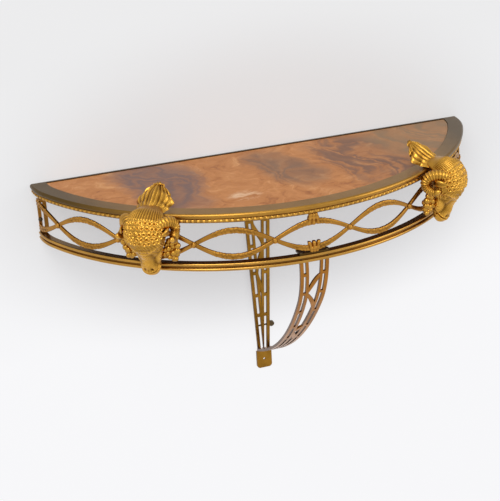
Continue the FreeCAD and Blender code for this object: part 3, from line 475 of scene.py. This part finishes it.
def add_piece(name, parts, slot, *stands_for, finish=None):
    """One object of closed surfaces, faces outward, that rides on the table and takes a finish."""
    spots, faces, marks, count = [], [], [], 0
    for part_spots, quads, fans, relief in parts:
        way = 1 if volume(part_spots - part_spots.mean(axis=0), quads, fans) > 0 else -1
        faces += (quads[:, ::way] + count).tolist() + (fans[:, ::way] + count).tolist()
        spots.append(part_spots)
        marks.append(relief)
        count += len(part_spots)
    mesh = bpy.data.meshes.new(name)
    mesh.from_pydata(np.concatenate(spots).tolist(), [], faces)
    mesh.polygons.foreach_set("use_smooth", np.ones(len(mesh.polygons), bool))
    mesh.attributes.new(RELIEF, "FLOAT", "POINT").data.foreach_set("value", np.concatenate(marks))
    mesh.materials.append(FINISHES[finish or slot])
    piece = into_scene(name, mesh)
    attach(piece, "root")
    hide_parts(*stands_for)


def bow_angle(along):
    """Angle of the bow's normal from straight ahead, at lengths along the frieze line."""
    run = np.abs(along)
    front = run / (FRONT_RADIUS - FRIEZE_INSET)
    end = JOIN_ANGLE + (run - FRONT_RUN) / (END_RADIUS - FRIEZE_INSET)
    return np.sign(along) * np.where(run <= FRONT_RUN, front, end)


def on_bow(along, inset, height):
    """Points at lengths along the frieze line, depths inside the edge and heights: tangent arcs."""
    along, inset, height = np.broadcast_arrays(along, inset, height)
    angle = bow_angle(along)
    front = np.abs(angle) <= JOIN_ANGLE
    radius = np.where(front, FRONT_RADIUS, END_RADIUS) - inset
    x = np.where(front, 0, np.sign(along) * END_CENTRE_X) + radius * np.sin(angle)
    y = np.where(front, FRONT_CENTRE_Y, 0) - radius * np.cos(angle)
    return points_of(x, y, height)


# Frieze, in metres

STRAP_HALF = 0.007
END_PLATE = 0.0045
STRAND_STEP = 0.0007
STRAND_TALL, STRAND_SWELL, STRAND_DEEP = 0.0065, 0.003, 0.005
STRAND_CORNER = 0.62
UNDER_SHARE = 0.84
WAVE_HEIGHT = 0.0215
LEAF_RUN, LEAF_HEIGHT = 0.0072, 0.001


def strand(start, end, side):
    """One strand of the frieze, a flattened ribbon whose height follows a cosine along the bow.

    Its section is a rounded oblong. Where the wave is high or low, overlapping leaves stand on it:
    a saw-tooth along the run that lags towards the edges, with a groove along the middle.
    """
    run = np.linspace(start, end, int((end - start) / STRAND_STEP))[:, None]
    turn = full_turn(32)
    phase = np.pi * run / PITCH
    swell = np.cos(phase) ** 2
    leafy = fade(swell, 0.3, 0.62)
    tall = STRAND_TALL + STRAND_SWELL * swell
    deep = STRAND_DEEP * (1.0 if side > 0 else UNDER_SHARE)
    out, rise = squared(np.cos(turn), STRAND_CORNER), squared(np.sin(turn), STRAND_CORNER)
    uneven = run / LEAF_RUN + 0.22 * np.sin(run * 410) + 0.14 * np.sin(run * 977)
    leaf = np.mod(uneven + 0.5 * (rise > 0) - 0.42 * np.abs(rise) ** 1.5, 1.0)
    saw_tooth = leaf**1.4 * fade(1 - leaf, 0.0, 0.12)
    groove, edge = bump(rise, 0.12), rise**4
    relief = leafy * (0.9 * saw_tooth - 0.5 * groove + 0.25 * edge - 0.25)
    swollen = LEAF_HEIGHT * relief * np.clip(np.cos(turn) + 0.25, 0, 1)
    notches = np.where(leaf > 0.55, 1.0, -0.6) * edge
    lift = tall / 2 * rise * (1 + 0.07 * leafy * notches)
    slope = np.arctan(-side * WAVE_HEIGHT * np.pi / PITCH * np.sin(phase))
    height = FRIEZE_MID_Z + side * WAVE_HEIGHT * np.cos(phase) + lift * np.cos(slope)
    inset = FRIEZE_INSET - deep / 2 * out - swollen
    points = on_bow(run - lift * np.sin(slope), inset, height)
    return closed_tube(points, np.clip(0.62 + 0.5 * relief, 0.1, 1.0))


for name, start, end in (("left", END_PLATE - HALF_FRIEZE, -RAM_ALONG - STRAP_HALF),
                         ("centre", STRAP_HALF - RAM_ALONG, RAM_ALONG - STRAP_HALF),
                         ("right", RAM_ALONG + STRAP_HALF, HALF_FRIEZE - END_PLATE)):
    add_piece("laurel_strands_" + name, [strand(start, end, side) for side in (-1, 1)],
              "frieze_brass", "frieze_%s_panel" % name, finish="carved_frieze")

BOSS_RADIUS, BOSS_FOOT, BOSS_SUNK = 0.005, 0.004, 0.0005
BOSS_DOME, BOSS_RING, BOSS_BASE = 0.0024, 0.0012, 0.0006
BOSS_BEADS = 10
# Shares of the boss's radius: edge of the dome, and middle and width of the ring
DOME_SHARE, RING_SHARE, RING_WIDTH = 0.72, 0.84, 0.12


def boss(along):
    """Button on a crossing: a beaded ring round a domed middle, a height over radius and turn."""
    reach = np.linspace(0.02, 1, 26)[:, None]
    turn = full_turn(48)

    def ring_of(radius, inset):
        return on_bow(along + radius * np.cos(turn), inset, FRIEZE_MID_Z + radius * np.sin(turn))

    beads = bump(reach - RING_SHARE, RING_WIDTH) * (0.75 + 0.25 * np.cos(BOSS_BEADS * turn))
    height = np.maximum(BOSS_DOME * dome(reach / DOME_SHARE), BOSS_BASE + BOSS_RING * beads)
    height = np.where(reach < 1, height * fade(1.02 - reach, 0, 0.06), 0)
    face = FRIEZE_INSET - STRAND_DEEP / 2
    points = np.concatenate((ring_of(BOSS_RADIUS * reach, face - height),
                             ring_of(BOSS_FOOT, face + BOSS_SUNK)))
    relief = np.concatenate((np.clip(0.35 + 260 * height, 0, 1), np.full_like(turn, 0.2)))
    return closed_tube(points, relief)


FIRST_CROSSING = -PITCH * (CROSSINGS - 1) / 2
add_piece("crossing_bosses", [boss(FIRST_CROSSING + PITCH * place) for place in range(CROSSINGS)],
          "frieze_brass", "crossing_rosettes", finish="carved_frieze")

TIE_RIB, TIE_RIB_LESS = 0.0036, 0.0003
TIE_SPACING, TIE_FAN = 0.0042, 0.0040
TIE_WAIST = 0.42


def leaf_tie(root, tip):
    """Bundle that clasps a strand: three ribs that fan out from root to tip, with rounded ends."""
    parts = []
    rise = np.linspace(0, 1, 48)[:, None]
    turn = full_turn(28)
    ends = np.sqrt(np.clip(1 - (2 * rise - 1) ** 10, 0.01, 1))
    waist = 1 + 0.2 * bump(rise - TIE_WAIST, 0.12)
    twist = 1 + 0.07 * np.cos(4 * turn + 9 * rise)
    for place in (-1, 0, 1):
        across = place * (TIE_SPACING + TIE_FAN * rise**1.5)
        thick = (TIE_RIB - TIE_RIB_LESS * abs(place)) * ends * waist * twist
        points = points_of(across + thick * np.cos(turn),
                           FRIEZE_INSET - DEPTH - 1.25 * thick * np.sin(turn),
                           root + (tip - root) * rise)
        # Painted shade: each rib is lighter on its front and darker on its back, towards the frieze
        relief = 0.42 + 0.42 * np.sin(turn) - 0.3 * bump(np.abs(rise - TIE_WAIST) - 0.15, 0.03)
        parts.append(closed_tube(points, np.clip(relief, 0.05, 1)))
    return parts


for name, root, tip in (("upper", RIM_LOW_Z, -0.0125), ("lower", RAIL_TOP_Z + 0.003, -0.0385)):
    add_piece(name + "_tie", leaf_tie(root, tip), "frieze_brass", name + "_collar",
              finish="carved_frieze")

# Section of the band under the rim's edge: depth inside the edge and height, in millimetres
BAND_SECTION = ((6.0, 14.5), (3.6, 14.5), (2.9, 13.6), (2.75, 12.6), (2.7, 11.9), (2.7, 11.2),
                (2.7, 10.6), (2.75, 9.9), (2.9, 8.9), (3.6, 8.0), (6.0, 8.0))
BAND_FACE, BAND_MID_Z = 0.0032, 0.01125
PEARL_PITCH, PEARL_HALF, PEARL_HEIGHT = 0.0085, 0.0022, 0.0013


def pearl_band():
    """Strip under the rim's edge: a crowned band with a row of pearls and small reels between them.

    The section runs round a closed outline; the pearls are half ellipsoids on its face along the
    bow.
    """
    inset, height = np.array(BAND_SECTION).T[:, None] / MM_PER_METRE
    run = np.linspace(-HALF_FRIEZE, HALF_FRIEZE, 1900)[:, None]
    beat = np.mod(run / PEARL_PITCH, 1.0) - 0.5
    middle = (height - BAND_MID_Z) / PEARL_HALF
    pearl = dome(beat / 0.37, middle)
    reel = 0.6 * dome((np.abs(beat) - 0.44) / 0.06, middle / 0.8)
    raised = np.maximum(pearl, reel) * (inset < BAND_FACE)
    points = on_bow(run, inset - PEARL_HEIGHT * raised, height)
    points[..., 1] = np.minimum(points[..., 1], 0)
    return closed_tube(points, np.clip(0.3 + 0.6 * raised, 0, 1))


add_piece("pearl_band", [pearl_band()], "band_brass", "bead_band", finish="pearl_brass")

# Leaves of the bracket, in millimetres; bars are given by height and distance from the middle

STRUT_BARS = ((-11, 13.85), (-360, -1.75))
STRUT_MID_Y = -2.25
STRUT_TURNS = (0.017, 0.146, 0.278, 0.41, 0.56, 0.685)
STRUT_LEAF_WIDE = 8.0
BRACE_BARS = ((-73, 12.25), (-360, 1.25))
BRACE_CENTRE, BRACE_RADIUS = (-127.5, -73.0), 146.0
BRACE_BEND = math.radians(34.2)
BRACE_FOOT = (0.0, -357.75)
BRACE_TURNS = ((-98.8, -132.6, -173.7), (-224.0, -238.8, -270.6))
BRACE_LEAF_WIDE = 7.5
LEAF_DEEP = 4.4
LEAF_STEPS = np.linspace(0.01, 0.99, 60)


def inside_bars(height, bars):
    """Distance from the middle to the inner bars, which taper in a straight line."""
    (top, top_half), (low, low_half) = bars
    return top_half + (low_half - top_half) * (height - top) / (low - top)


def brace_arcs():
    """The brace from the side: centre and radius of its two tangent arcs, and where they meet."""
    upper = np.array(BRACE_CENTRE)
    inward = np.array((math.cos(BRACE_BEND), math.sin(BRACE_BEND)))
    meet = upper - BRACE_RADIUS * inward
    run = np.array(BRACE_FOOT) - meet
    radius = run @ run / (2 * inward @ run)
    return (*upper, BRACE_RADIUS), (*(meet + radius * inward), radius), meet[1]


def on_brace(aside, height):
    """Points on the brace's curved sheet and its outward normals there."""
    upper, lower, meet = brace_arcs()
    centre_y, centre_z, radius = (np.where(height > meet, *pair) for pair in zip(upper, lower))
    drop = (centre_z - height) / radius
    outward = points_of(0, -np.sqrt(1 - drop**2), -drop)
    return points_of(aside, centre_y + radius * outward[:, 1], height), outward


def bracket_leaf(line, outward, wide):
    """One leaf: a flat bar with rounded edges along a bent line, widest at its middle by a sine."""
    outward = np.broadcast_to(outward, line.shape)[:, None]
    aside = unit(np.cross(np.gradient(line, axis=0)[:, None], outward))
    turn = full_turn(28)
    half = wide / 2 * (0.6 + 0.4 * np.sin(np.linspace(0, np.pi, len(line))))[:, None]
    across = (half * squared(np.cos(turn), 0.5))[..., None]
    through = (LEAF_DEEP / 2 * squared(np.sin(turn), 0.5))[..., None]
    return closed_tube((line[:, None] + across * aside + through * outward) / MM_PER_METRE)


def strut_leaves():
    """Leaves that cross the strut from side to side, each bent like an S."""
    (top, _), (foot, _) = STRUT_BARS
    turns = [top + (foot - top) * share for share in STRUT_TURNS]
    leaves = []
    for place, (high, low) in enumerate(zip(turns, turns[1:])):
        side = 1 if place % 2 else -1
        start, end = side * inside_bars(high, STRUT_BARS), -side * inside_bars(low, STRUT_BARS)
        line = points_of(start + (end - start) * fade(LEAF_STEPS, 0, 1), STRUT_MID_Y,
                         high + (low - high) * LEAF_STEPS)
        leaves.append(bracket_leaf(line, (0.0, -1.0, 0.0), STRUT_LEAF_WIDE))
    return leaves


def brace_leaves():
    """Pairs of leaves that bend from the brace's right bar to its left bar and back."""
    leaves = []
    for high, middle, low in BRACE_TURNS:
        start, left, end = (side * inside_bars(height, BRACE_BARS)
                            for height, side in ((high, 1), (middle, -1), (low, 1)))
        over = on_brace(start + (left - start) * LEAF_STEPS,
                        high + (middle - high) * LEAF_STEPS**1.5)
        back = on_brace(left + (end - left) * (1 - (1 - LEAF_STEPS) ** 1.7),
                        middle + (low - middle) * LEAF_STEPS)
        leaves += [bracket_leaf(*over, BRACE_LEAF_WIDE), bracket_leaf(*back, BRACE_LEAF_WIDE)]
    return leaves


add_piece("strut_leaves", strut_leaves(), "strut_brass", "strut_lattice")
add_piece("brace_leaves", brace_leaves(), "brace_brass", "brace_lattice")

# Rams, in millimetres with X aside, Y outward from the frieze line and Z up from the top face

# Sections of the head: out, rise, half width, half depth and narrowing to the front
HEAD_ROWS = ((-6, 5, 14, 7, 0), (10, 4.5, 21, 9, 0), (25, -1, 28, 15.5, 0),
             (34.5, -13, 31.2, 22.5, 0), (35.5, -28, 30, 24.4, 0.05), (31, -43, 24.6, 20.4, 0.15),
             (26, -58, 18.6, 16.4, 0.2), (23.5, -72, 15.8, 14.6, 0.15),
             (21.5, -84, 14.2, 12.2, 0.08), (20.5, -91, 10.4, 8, 0), (20.2, -93, 5.5, 4, 0))
HEAD_GRID = 290
# Rows of curls: share down the head, curls in the row and its half spread in degrees
CURL_ROWS = ((0.272, 9, 54), (0.3005, 10, 62), (0.329, 11, 68), (0.3575, 10, 64), (0.386, 9, 56))
CURL_RADIUS, CURL_OFFSET = 2.6, 0.45
# Eye: its angle on the head, its share down the head, and millimetres for a unit of each
EYE_ANGLE, EYE_SHARE, MM_PER_ANGLE, MM_PER_SHARE = 0.42, 0.488, 23, 150
# Muzzle: aside and rise of the nostrils, and rise of the cleft and the mouth
NOSTRIL, NOSTRIL_RIM = (6.2, -81), (8.5, -79)
CLEFT_Z, MOUTH_Z, MOUTH_RISE = -84, -87.5, 12
# Horn: degrees of its coil, radius and middle of the coil, step aside and thickness
HORN_START, HORN_SWEEP = 42, 288
HORN_COIL, HORN_TIGHTEN, HORN_FLATTEN = 16, 0.13, 0.84
HORN_OUT, HORN_RISE = 29, -17.5
HORN_ROOT, HORN_ASIDE, HORN_END_ASIDE = 20, 20, 3
HORN_TIP, HORN_SWELL = 4.4, 4.4
HORN_RIBS, HORN_RIB = 20, 0.9
# Ear: its middle line (aside, out and rise), height, taper, thickness and hollow
EAR_LINE = ((31, 22, -16), (35, 30, -16), (36, 37, -16), (35, 44, -16), (32, 50, -16.5))
EAR_TALL, EAR_TAPER, EAR_THICK, EAR_HOLLOW = 7.2, 2.0, 3.4, 1.7
# Sections of the crest: out, rise, half width and droop of its edges
CREST_ROWS = ((14, 5, 19, 5), (4, 13.5, 27, 11), (-6, 20.5, 30, 14.5), (-16, 26, 29, 12.5),
              (-25, 29, 21, 8), (-32, 30, 13, 3.5), (-36, 30.6, 9, 1), (-34.2, 31.6, 5, 0))
CREST_LOBES, CREST_FLUTES = 3.6, 9
CREST_THICK, LOBE_HEIGHT, FLUTE_HEIGHT, VEIN_HEIGHT = 1.5, 1.9, 0.85, 1.6
# Grapes of one side: aside, out, rise and radius
BERRIES = ((42, 24, -32, 4.4), (40, 19, -38, 4.8), (36, 22, -40, 4.6), (43, 18, -45, 5.2),
           (36, 17, -46, 5.4), (40, 13, -50, 5.2), (33, 15, -53, 5.2), (41, 16, -54, 5.4),
           (36, 18, -57, 5.4), (32, 13, -60, 4.9), (39, 13, -61, 5.2), (35, 14, -66, 5.0),
           (38, 15, -68, 4.4), (34, 12, -70, 4.2), (31, 21, -37, 4.8), (29, 17, -43, 5.2),
           (29.5, 20, -49, 5.0), (27, 15, -51, 5.2), (27, 17, -58, 5.2), (25.5, 14, -64, 4.8),
           (29, 16, -65, 4.6), (26, 18, -45, 4.8), (23.5, 18, -53, 4.6), (21.5, 17, -61, 4.4))


def head_form(share, turn):
    """Plain head: ovals carried down a bent spine, narrower at the face."""
    table = smooth_table(HEAD_ROWS, share)
    along = unit(np.gradient(table[:, :2], axis=0))
    out, rise, wide, deep, narrow = (column[:, None] for column in table.T)
    across = wide * np.cos(turn) * (1 - narrow * np.sin(turn))
    through = deep * np.sin(turn)
    return points_of(across, out - along[:, 1:] * through, rise + along[:, :1] * through)


def curl_centres():
    """Places of the ring curls, in staggered rows over the brow and crown."""
    spots = []
    for share, count, spread in CURL_ROWS:
        lean = np.radians(90 + np.linspace(-1, 1, count) * spread)
        spots.append(head_form(np.linspace(share - 0.01, share + 0.01, 3), lean[None, :])[1])
    return np.concatenate(spots)


def curl_heights(points):
    """Wool curls: a ring about the nearest centre, open on one side, with a pit in its middle."""
    apart = points[:, :, None] - curl_centres()
    which = np.argmin(np.linalg.norm(apart, axis=-1), axis=-1)
    apart = np.take_along_axis(apart, which[..., None, None], axis=2)[:, :, 0]
    near = np.linalg.norm(apart, axis=-1)
    opening = np.cos(np.arctan2(apart[..., 2], apart[..., 0]) - 2.4 * which)
    ring = bump(near - CURL_RADIUS + CURL_OFFSET * opening, 0.85)
    ring = ring * (1 - 0.7 * fade(opening, 0.55, 0.95))
    pit, mound = bump(near, 1.1), bump(near, 4.2)
    return 2.3 * ring - 1.4 * pit + 0.6 * mound


def face_heights(aside, rise, facing, down):
    """Face: eyes, brow, nose, mouth and cheek as bells and bands on the plain head.

    Aside and rise are in millimetres, facing is 1 at the front, and down runs from neck to muzzle.
    """
    front = fade(facing, -0.1, 0.5)
    eye_side = (np.arcsin(np.clip(facing, -1, 1)) - EYE_ANGLE) * MM_PER_ANGLE
    eye_rise = (EYE_SHARE - down) * MM_PER_SHARE
    eye = np.hypot(eye_side, eye_rise)
    lid_arch = 0.06 * eye_side**2
    lids = bump(eye_rise - 3.2 + lid_arch, 0.9) + 0.8 * bump(eye_rise + 3.0 - lid_arch, 0.9)
    brow = bump(eye_rise - 7.0 + 0.02 * eye_side**2, 2.6) * fade(aside, 6, 12)
    nose = bump(aside, 5) * between(-rise, 44, 54, 70, 82)
    nose_side = bump(aside - 11.5, 2.6) * between(-rise, 46, 54, 66, 78)
    nostril_rim = bump(np.hypot(aside - NOSTRIL_RIM[0], (rise - NOSTRIL_RIM[1]) * 0.6), 2.4)
    nostril = bump(np.hypot((aside - NOSTRIL[0]) * 0.9, (rise - NOSTRIL[1]) * 0.7), 1.7)
    cleft = bump(aside, 0.9) * bump(rise - CLEFT_Z, 3.5)
    mouth = rise - MOUTH_Z - MOUTH_RISE * (1 - np.clip(facing, 0, 1)) ** 1.2
    lips, slit = bump(np.abs(mouth) - 2.1, 1.0), bump(mouth, 0.8)
    cheek = np.hypot((down - 0.62) * 90, (facing + 0.1) * 12)
    ball, socket = bump(eye, 2.6), bump(eye, 6.0)
    jaw_line = bump(cheek - 8.5, 1.6) * fade(aside, 8, 14)
    muzzle = 0.9 * nose - 0.9 * nose_side + 1.3 * nostril_rim - 2.4 * nostril - 0.9 * cleft
    heights = 2.8 * ball - 2.4 * socket + 1.9 * lids * bump(eye_side, 5.0)
    heights += 1.2 * brow * fade(facing, -0.1, 0.3) + muzzle * front
    heights += (0.9 * lips - 1.8 * slit) * fade(facing, -0.45, -0.1)
    return heights + 1.6 * bump(cheek, 6.0) - 0.9 * jaw_line


def hair_heights(aside, facing, down, turn):
    """Hair: strokes and brow folds on the face, combed neck hair to a ridge, and tufts behind."""
    front = fade(facing, -0.1, 0.5)
    stroke = np.cos(34 * turn + 14 * np.sin(24 * down)) * np.cos(70 * down + 3 * np.cos(3 * turn))
    stroke = stroke * (0.36 + 0.4 * bump(down - 0.43, 0.04)) * between(down, 0.39, 0.42, 0.78, 0.86)
    folds = np.cos(150 * down) * bump(aside, 12) * between(down, 0.41, 0.44, 0.5, 0.58)
    combed = np.cos(44 * turn) * between(down, 0.13, 0.17, 0.248, 0.258)
    ridge = bump(down - 0.25, 0.008)
    tuft = between(down, 0.3, 0.36, 0.5, 0.56) * fade(-facing, -0.3, 0.2)
    return (stroke + (0.6 * folds + 0.75 * combed + 0.8 * ridge) * front
            + 0.8 * tuft * np.cos(30 * turn + 40 * down))


def ram_head():
    """Head with its face and wool as heights on the plain form, along its normals."""
    share = np.linspace(0, 1, HEAD_GRID)
    turn = full_turn(HEAD_GRID)
    points = head_form(share, turn)
    aside, rise = np.abs(points[..., 0]), points[..., 2]
    facing, down = np.sin(turn), share[:, None]
    raised = (curl_heights(points) + face_heights(aside, rise, facing, down)
              + hair_heights(aside, facing, down, turn))
    relief = 0.5 + 0.4 * raised + 0.18 * fade(down, 0.42, 0.5)
    return points + grid_normals(points) * raised[..., None], np.clip(relief, 0.05, 1.0)


def horn():
    """Ribbed horn: a tube round a coil that tightens and moves aside, with ridges along it."""
    share = np.linspace(0, 1, 300)
    turn = full_turn(44)[..., None]
    angle = np.radians(HORN_START + HORN_SWEEP * share)
    coil = HORN_COIL * (1 - HORN_TIGHTEN * share)
    aside = HORN_ROOT + HORN_ASIDE * np.sin(np.pi / 2 * np.clip(share / 0.5, 0, 1))
    aside = aside + HORN_END_ASIDE * fade(share, 0.5, 1.0)
    line = points_of(aside, HORN_OUT + coil * np.cos(angle),
                     HORN_RISE + HORN_FLATTEN * coil * np.sin(angle))
    ahead = unit(np.gradient(line, axis=0))
    up = unit(np.cross(ahead, (1.0, 0.0, 0.0)))
    over = np.cross(up, ahead)
    ridge = (0.5 + 0.5 * np.cos(2 * np.pi * HORN_RIBS * share**0.92)) ** 1.2
    ridge = ridge * fade(-share, -0.9, -0.78)
    rounded_tip = np.sqrt(np.clip(1 - (share / 1.001) ** 24, 0.004, 1))
    thick = (HORN_TIP + HORN_SWELL * (1 - share**1.6) + HORN_RIB * ridge) * rounded_tip
    points = line[:, None] + thick[:, None, None] * (
        np.cos(turn) * up[:, None] + np.sin(turn) * over[:, None])
    relief = 0.36 + 0.5 * ridge + 0.55 * fade(share, 0.86, 0.97)
    return points, relief[:, None]


def ear():
    """Leaf-shaped ear: an oval tube along a bent line, hollowed on its outer side."""
    share = np.linspace(0, 1, 50)[:, None]
    turn = full_turn(32)
    leaf = np.sin(np.pi * (0.12 + 0.86 * share)) ** 0.7
    tall = (EAR_TALL - EAR_TAPER * share) * leaf * np.sin(turn)
    hollow = EAR_HOLLOW * leaf * np.clip(np.cos(turn), 0, 1) * bump(np.sin(turn), 0.55)
    section = points_of(EAR_THICK * leaf * np.cos(turn) - hollow, 0, tall)
    return smooth_table(EAR_LINE, share) + section, np.clip(0.9 - 0.4 * hollow, 0.1, 1)


def crest():
    """Acanthus leaf that leans back over the slab: a thin arched sheet with lobes along its edges.

    Half width and droop follow a table; lobes are a row of half sines at the edges. Flutes run
    along the leaf on both sides of the middle vein, and the tip rolls forward.
    """
    share = np.linspace(0, 1, 190)[:, None]
    turn = full_turn(180)
    table = smooth_table(CREST_ROWS, share[:, 0])
    out, rise, wide, droop = (column[:, None] for column in table.T)
    along = unit(np.gradient(table[:, :2], axis=0))
    span = np.cos(turn)
    edge = np.abs(span)
    lobe = np.abs(np.sin(np.pi * (CREST_LOBES * share - 0.55 * (1 - edge) + 0.35)))
    leafy = fade(share, 0.12, 0.24)
    reach = wide * span * (1 - 0.34 * (1 - lobe**0.55) * edge**4 * leafy)
    flutes = np.cos(CREST_FLUTES * np.pi * edge**0.9) * between(share, 0.05, 0.2, 0.8, 0.96)
    lobes = LOBE_HEIGHT * lobe**0.8 * fade(edge, 0.2, 0.7)
    vein = VEIN_HEIGHT * bump(span, 0.12) - 0.7 * bump(edge - 0.25, 0.08)
    height = -droop * edge**1.7 + leafy * (lobes - 1.5) + FLUTE_HEIGHT * flutes + vein
    lift = height * fade(-share, -1.0, -0.9) + (CREST_THICK - 0.6 * edge**4) * np.sin(turn)
    points = points_of(reach, out + along[:, 1:] * lift, rise - along[:, :1] * lift)
    relief = 0.34 + leafy * 0.4 * lobe * fade(edge, 0.1, 0.6) + 0.3 * flutes + 0.4 * bump(span, 0.1)
    relief = relief + 0.25 * (1 - leafy) + 0.4 * fade(share, 0.9, 0.97)
    upper_face = np.sin(turn) > -0.2
    # Painted shade: the leaf's under face takes half the relief, so it is browner than its upper
    # face
    return points, np.clip(relief, 0.05, 1) * (0.5 + 0.5 * upper_face)


def berry(centre, radius):
    """One grape: a ball whose rows follow the sine and cosine of two angles."""
    tilt = np.linspace(0.05, np.pi - 0.05, 14)[:, None]
    turn = full_turn(20)
    ball = points_of(np.sin(tilt) * np.cos(turn), np.sin(tilt) * np.sin(turn), np.cos(tilt))
    # Painted light and shade: the relief falls from the top of the grape to its underside
    return np.asarray(centre) + radius * ball, np.clip(0.65 + 0.25 * np.cos(tilt), 0, 1)


def on_shoulder(points, side):
    """Ram points in millimetres set on the right shoulder of the bow, or mirrored to the left."""
    angle = float(bow_angle(np.array(RAM_ALONG)))
    axes = np.array(((math.cos(angle), math.sin(angle), 0), (math.sin(angle), -math.cos(angle), 0),
                     (0, 0, 1)))
    placed = on_bow(RAM_ALONG, FRIEZE_INSET, TOP_Z) + points @ axes / MM_PER_METRE
    return placed * np.array((side, 1, 1))


def both_sides(form):
    """A ram's form and its mirror image across the ram."""
    points, relief = form
    return [(points, relief), (points * np.array((-1, 1, 1)), relief)]


GRAPES = [twin for *centre, radius in BERRIES for twin in both_sides(berry(centre, radius))]
RAM_FORMS = {"head": [ram_head(), *both_sides(ear())], "horns": both_sides(horn()),
             "crest": [crest()], "grapes": GRAPES}
for name, side in (("left", -1), ("right", 1)):
    for label, forms in RAM_FORMS.items():
        add_piece("carved_%s_%s" % (label, name),
                  [closed_tube(on_shoulder(points, side), relief) for points, relief in forms],
                  "ram_brass", "ram_%s_%s" % (label, name), finish="carved_ram")


# Wall, floor, light and camera

STAGE_HALF = 6
WALL_Y = 0.001
FLOOR_Z = -0.88
PAINT_WHITE = (0.94, 0.94, 0.94, 1.0)
# Middle and reach of the patch of wall round the table: less of it glows there, which is painted
# shade, and more is plain paint that takes the table's real shadow
SHADOW_PATCH = ((0.03, 0.0, -0.03), (0.48, 1.0, 0.26))
SKY_LIGHT = (0.42, 0.42, 0.43, 1.0)
SKY_SEEN = (0.93, 0.93, 0.94, 1.0)
# Lamps: place, target, size and power
LAMPS = {"key_lamp": ((-0.9, -1.6, 1.9), (0, -0.15, -0.05), 1.4, 26),
         "fill_lamp": ((1.9, -1.3, 0.7), (0, -0.15, -0.1), 1.2, 9),
         "top_lamp": ((0.2, 0.3, 1.8), (0, -0.1, 0), 1.2, 9)}
CAMERA_PLACE = (-0.6511, -1.9906, 0.7503)
AZIMUTH, ELEVATION, ROLL = (math.radians(angle) for angle in (-17.725, 23.592, -3.119))
LENS_MM, SENSOR_MM = 94.16, 36


def seen_directly(tree):
    """1 for rays from the eye, from a mirror or through glass, and 0 for those that carry light."""
    rays = tree.nodes.new("ShaderNodeLightPath").outputs
    mirrored = arithmetic(tree, "MAXIMUM", rays["Is Glossy Ray"], rays["Is Transmission Ray"])
    return arithmetic(tree, "MAXIMUM", rays["Is Camera Ray"], mirrored)


def pale_paint():
    """Pale paint of wall and floor, seen from the room only, by the eye and in the metal.

    All other light passes through it. It is a near-white glow, with painted light that makes it a
    little lighter below. Round the table about half of it is plain paint, which takes the table's
    real soft shadow, and the lesser glow there is painted shade.
    """
    material, tree, paint = new_material("pale_paint", Base_Color=PAINT_WHITE, Roughness=0.9)
    place = coordinates(tree)
    rise = held_run(tree, along_axes(tree, place)["Z"], start=-0.3, end=0.2)
    # Painted light: the glow is lighter below than above
    glow_painted_light = ramp(tree, rise, ((0.0, (252, 252, 254)), (1.0, (238, 238, 239))))
    glow = add_node(tree, "ShaderNodeEmission", Color=glow_painted_light, Strength=1.0).outputs["Emission"]
    near = soft_patch(tree, place, *SHADOW_PATCH)
    # Painted shade: the glow is weaker round the table
    even = arithmetic(tree, "MULTIPLY_ADD", near, -0.45, 0.9)
    coat = blend_shaders(tree, even, paint.outputs["BSDF"], glow)
    behind = tree.nodes.new("ShaderNodeNewGeometry").outputs["Backfacing"]
    from_room = arithmetic(tree, "SUBTRACT", seen_directly(tree), behind)
    clear = tree.nodes.new("ShaderNodeBsdfTransparent").outputs["BSDF"]
    shown = blend_shaders(tree, from_room, clear, coat)
    feed(tree, tree.nodes["Material Output"].inputs["Surface"], shown)
    return material


PAINT = pale_paint()
STAGE_CORNERS = [(across * STAGE_HALF, along * STAGE_HALF)
                 for across, along in ((-1, -1), (1, -1), (1, 1), (-1, 1))]
for name, corners in (("wall", [(x, WALL_Y, z) for x, z in STAGE_CORNERS]),
                      ("floor", [(x, y, FLOOR_Z) for x, y in STAGE_CORNERS])):
    plane = bpy.data.meshes.new(name)
    plane.from_pydata(corners, [], [(0, 1, 2, 3)])
    plane.materials.append(PAINT)
    backdrop = into_scene(name, plane)

scene.world = bpy.data.worlds.new("studio")
scene.world.use_nodes = True
sky = scene.world.node_tree
feed(sky, sky.nodes["Background"].inputs["Color"],
     blend_colours(sky, seen_directly(sky), SKY_LIGHT, SKY_SEEN))

for name, (place, target, size, power) in LAMPS.items():
    data = bpy.data.lights.new(name, "AREA")
    data.size = size
    data.energy = power
    lamp = into_scene(name, data)
    lamp.location = place
    lamp.rotation_euler = (Vector(target) - Vector(place)).to_track_quat("-Z", "Y").to_euler()

back = Vector((math.sin(AZIMUTH) * math.cos(ELEVATION), -math.cos(AZIMUTH) * math.cos(ELEVATION),
               math.sin(ELEVATION)))
level = Vector((math.cos(AZIMUTH), math.sin(AZIMUTH), 0))
upright = back.cross(level)
across = level * math.cos(ROLL) + upright * math.sin(ROLL)
along = upright * math.cos(ROLL) - level * math.sin(ROLL)
camera = into_scene("camera", bpy.data.cameras.new("camera"))
camera.data.lens = LENS_MM
camera.data.sensor_width = SENSOR_MM
camera.matrix_world = Matrix((across, along, back)).transposed().to_4x4()
camera.location = CAMERA_PLACE
scene.camera = camera
scene.view_settings.view_transform = "Standard"
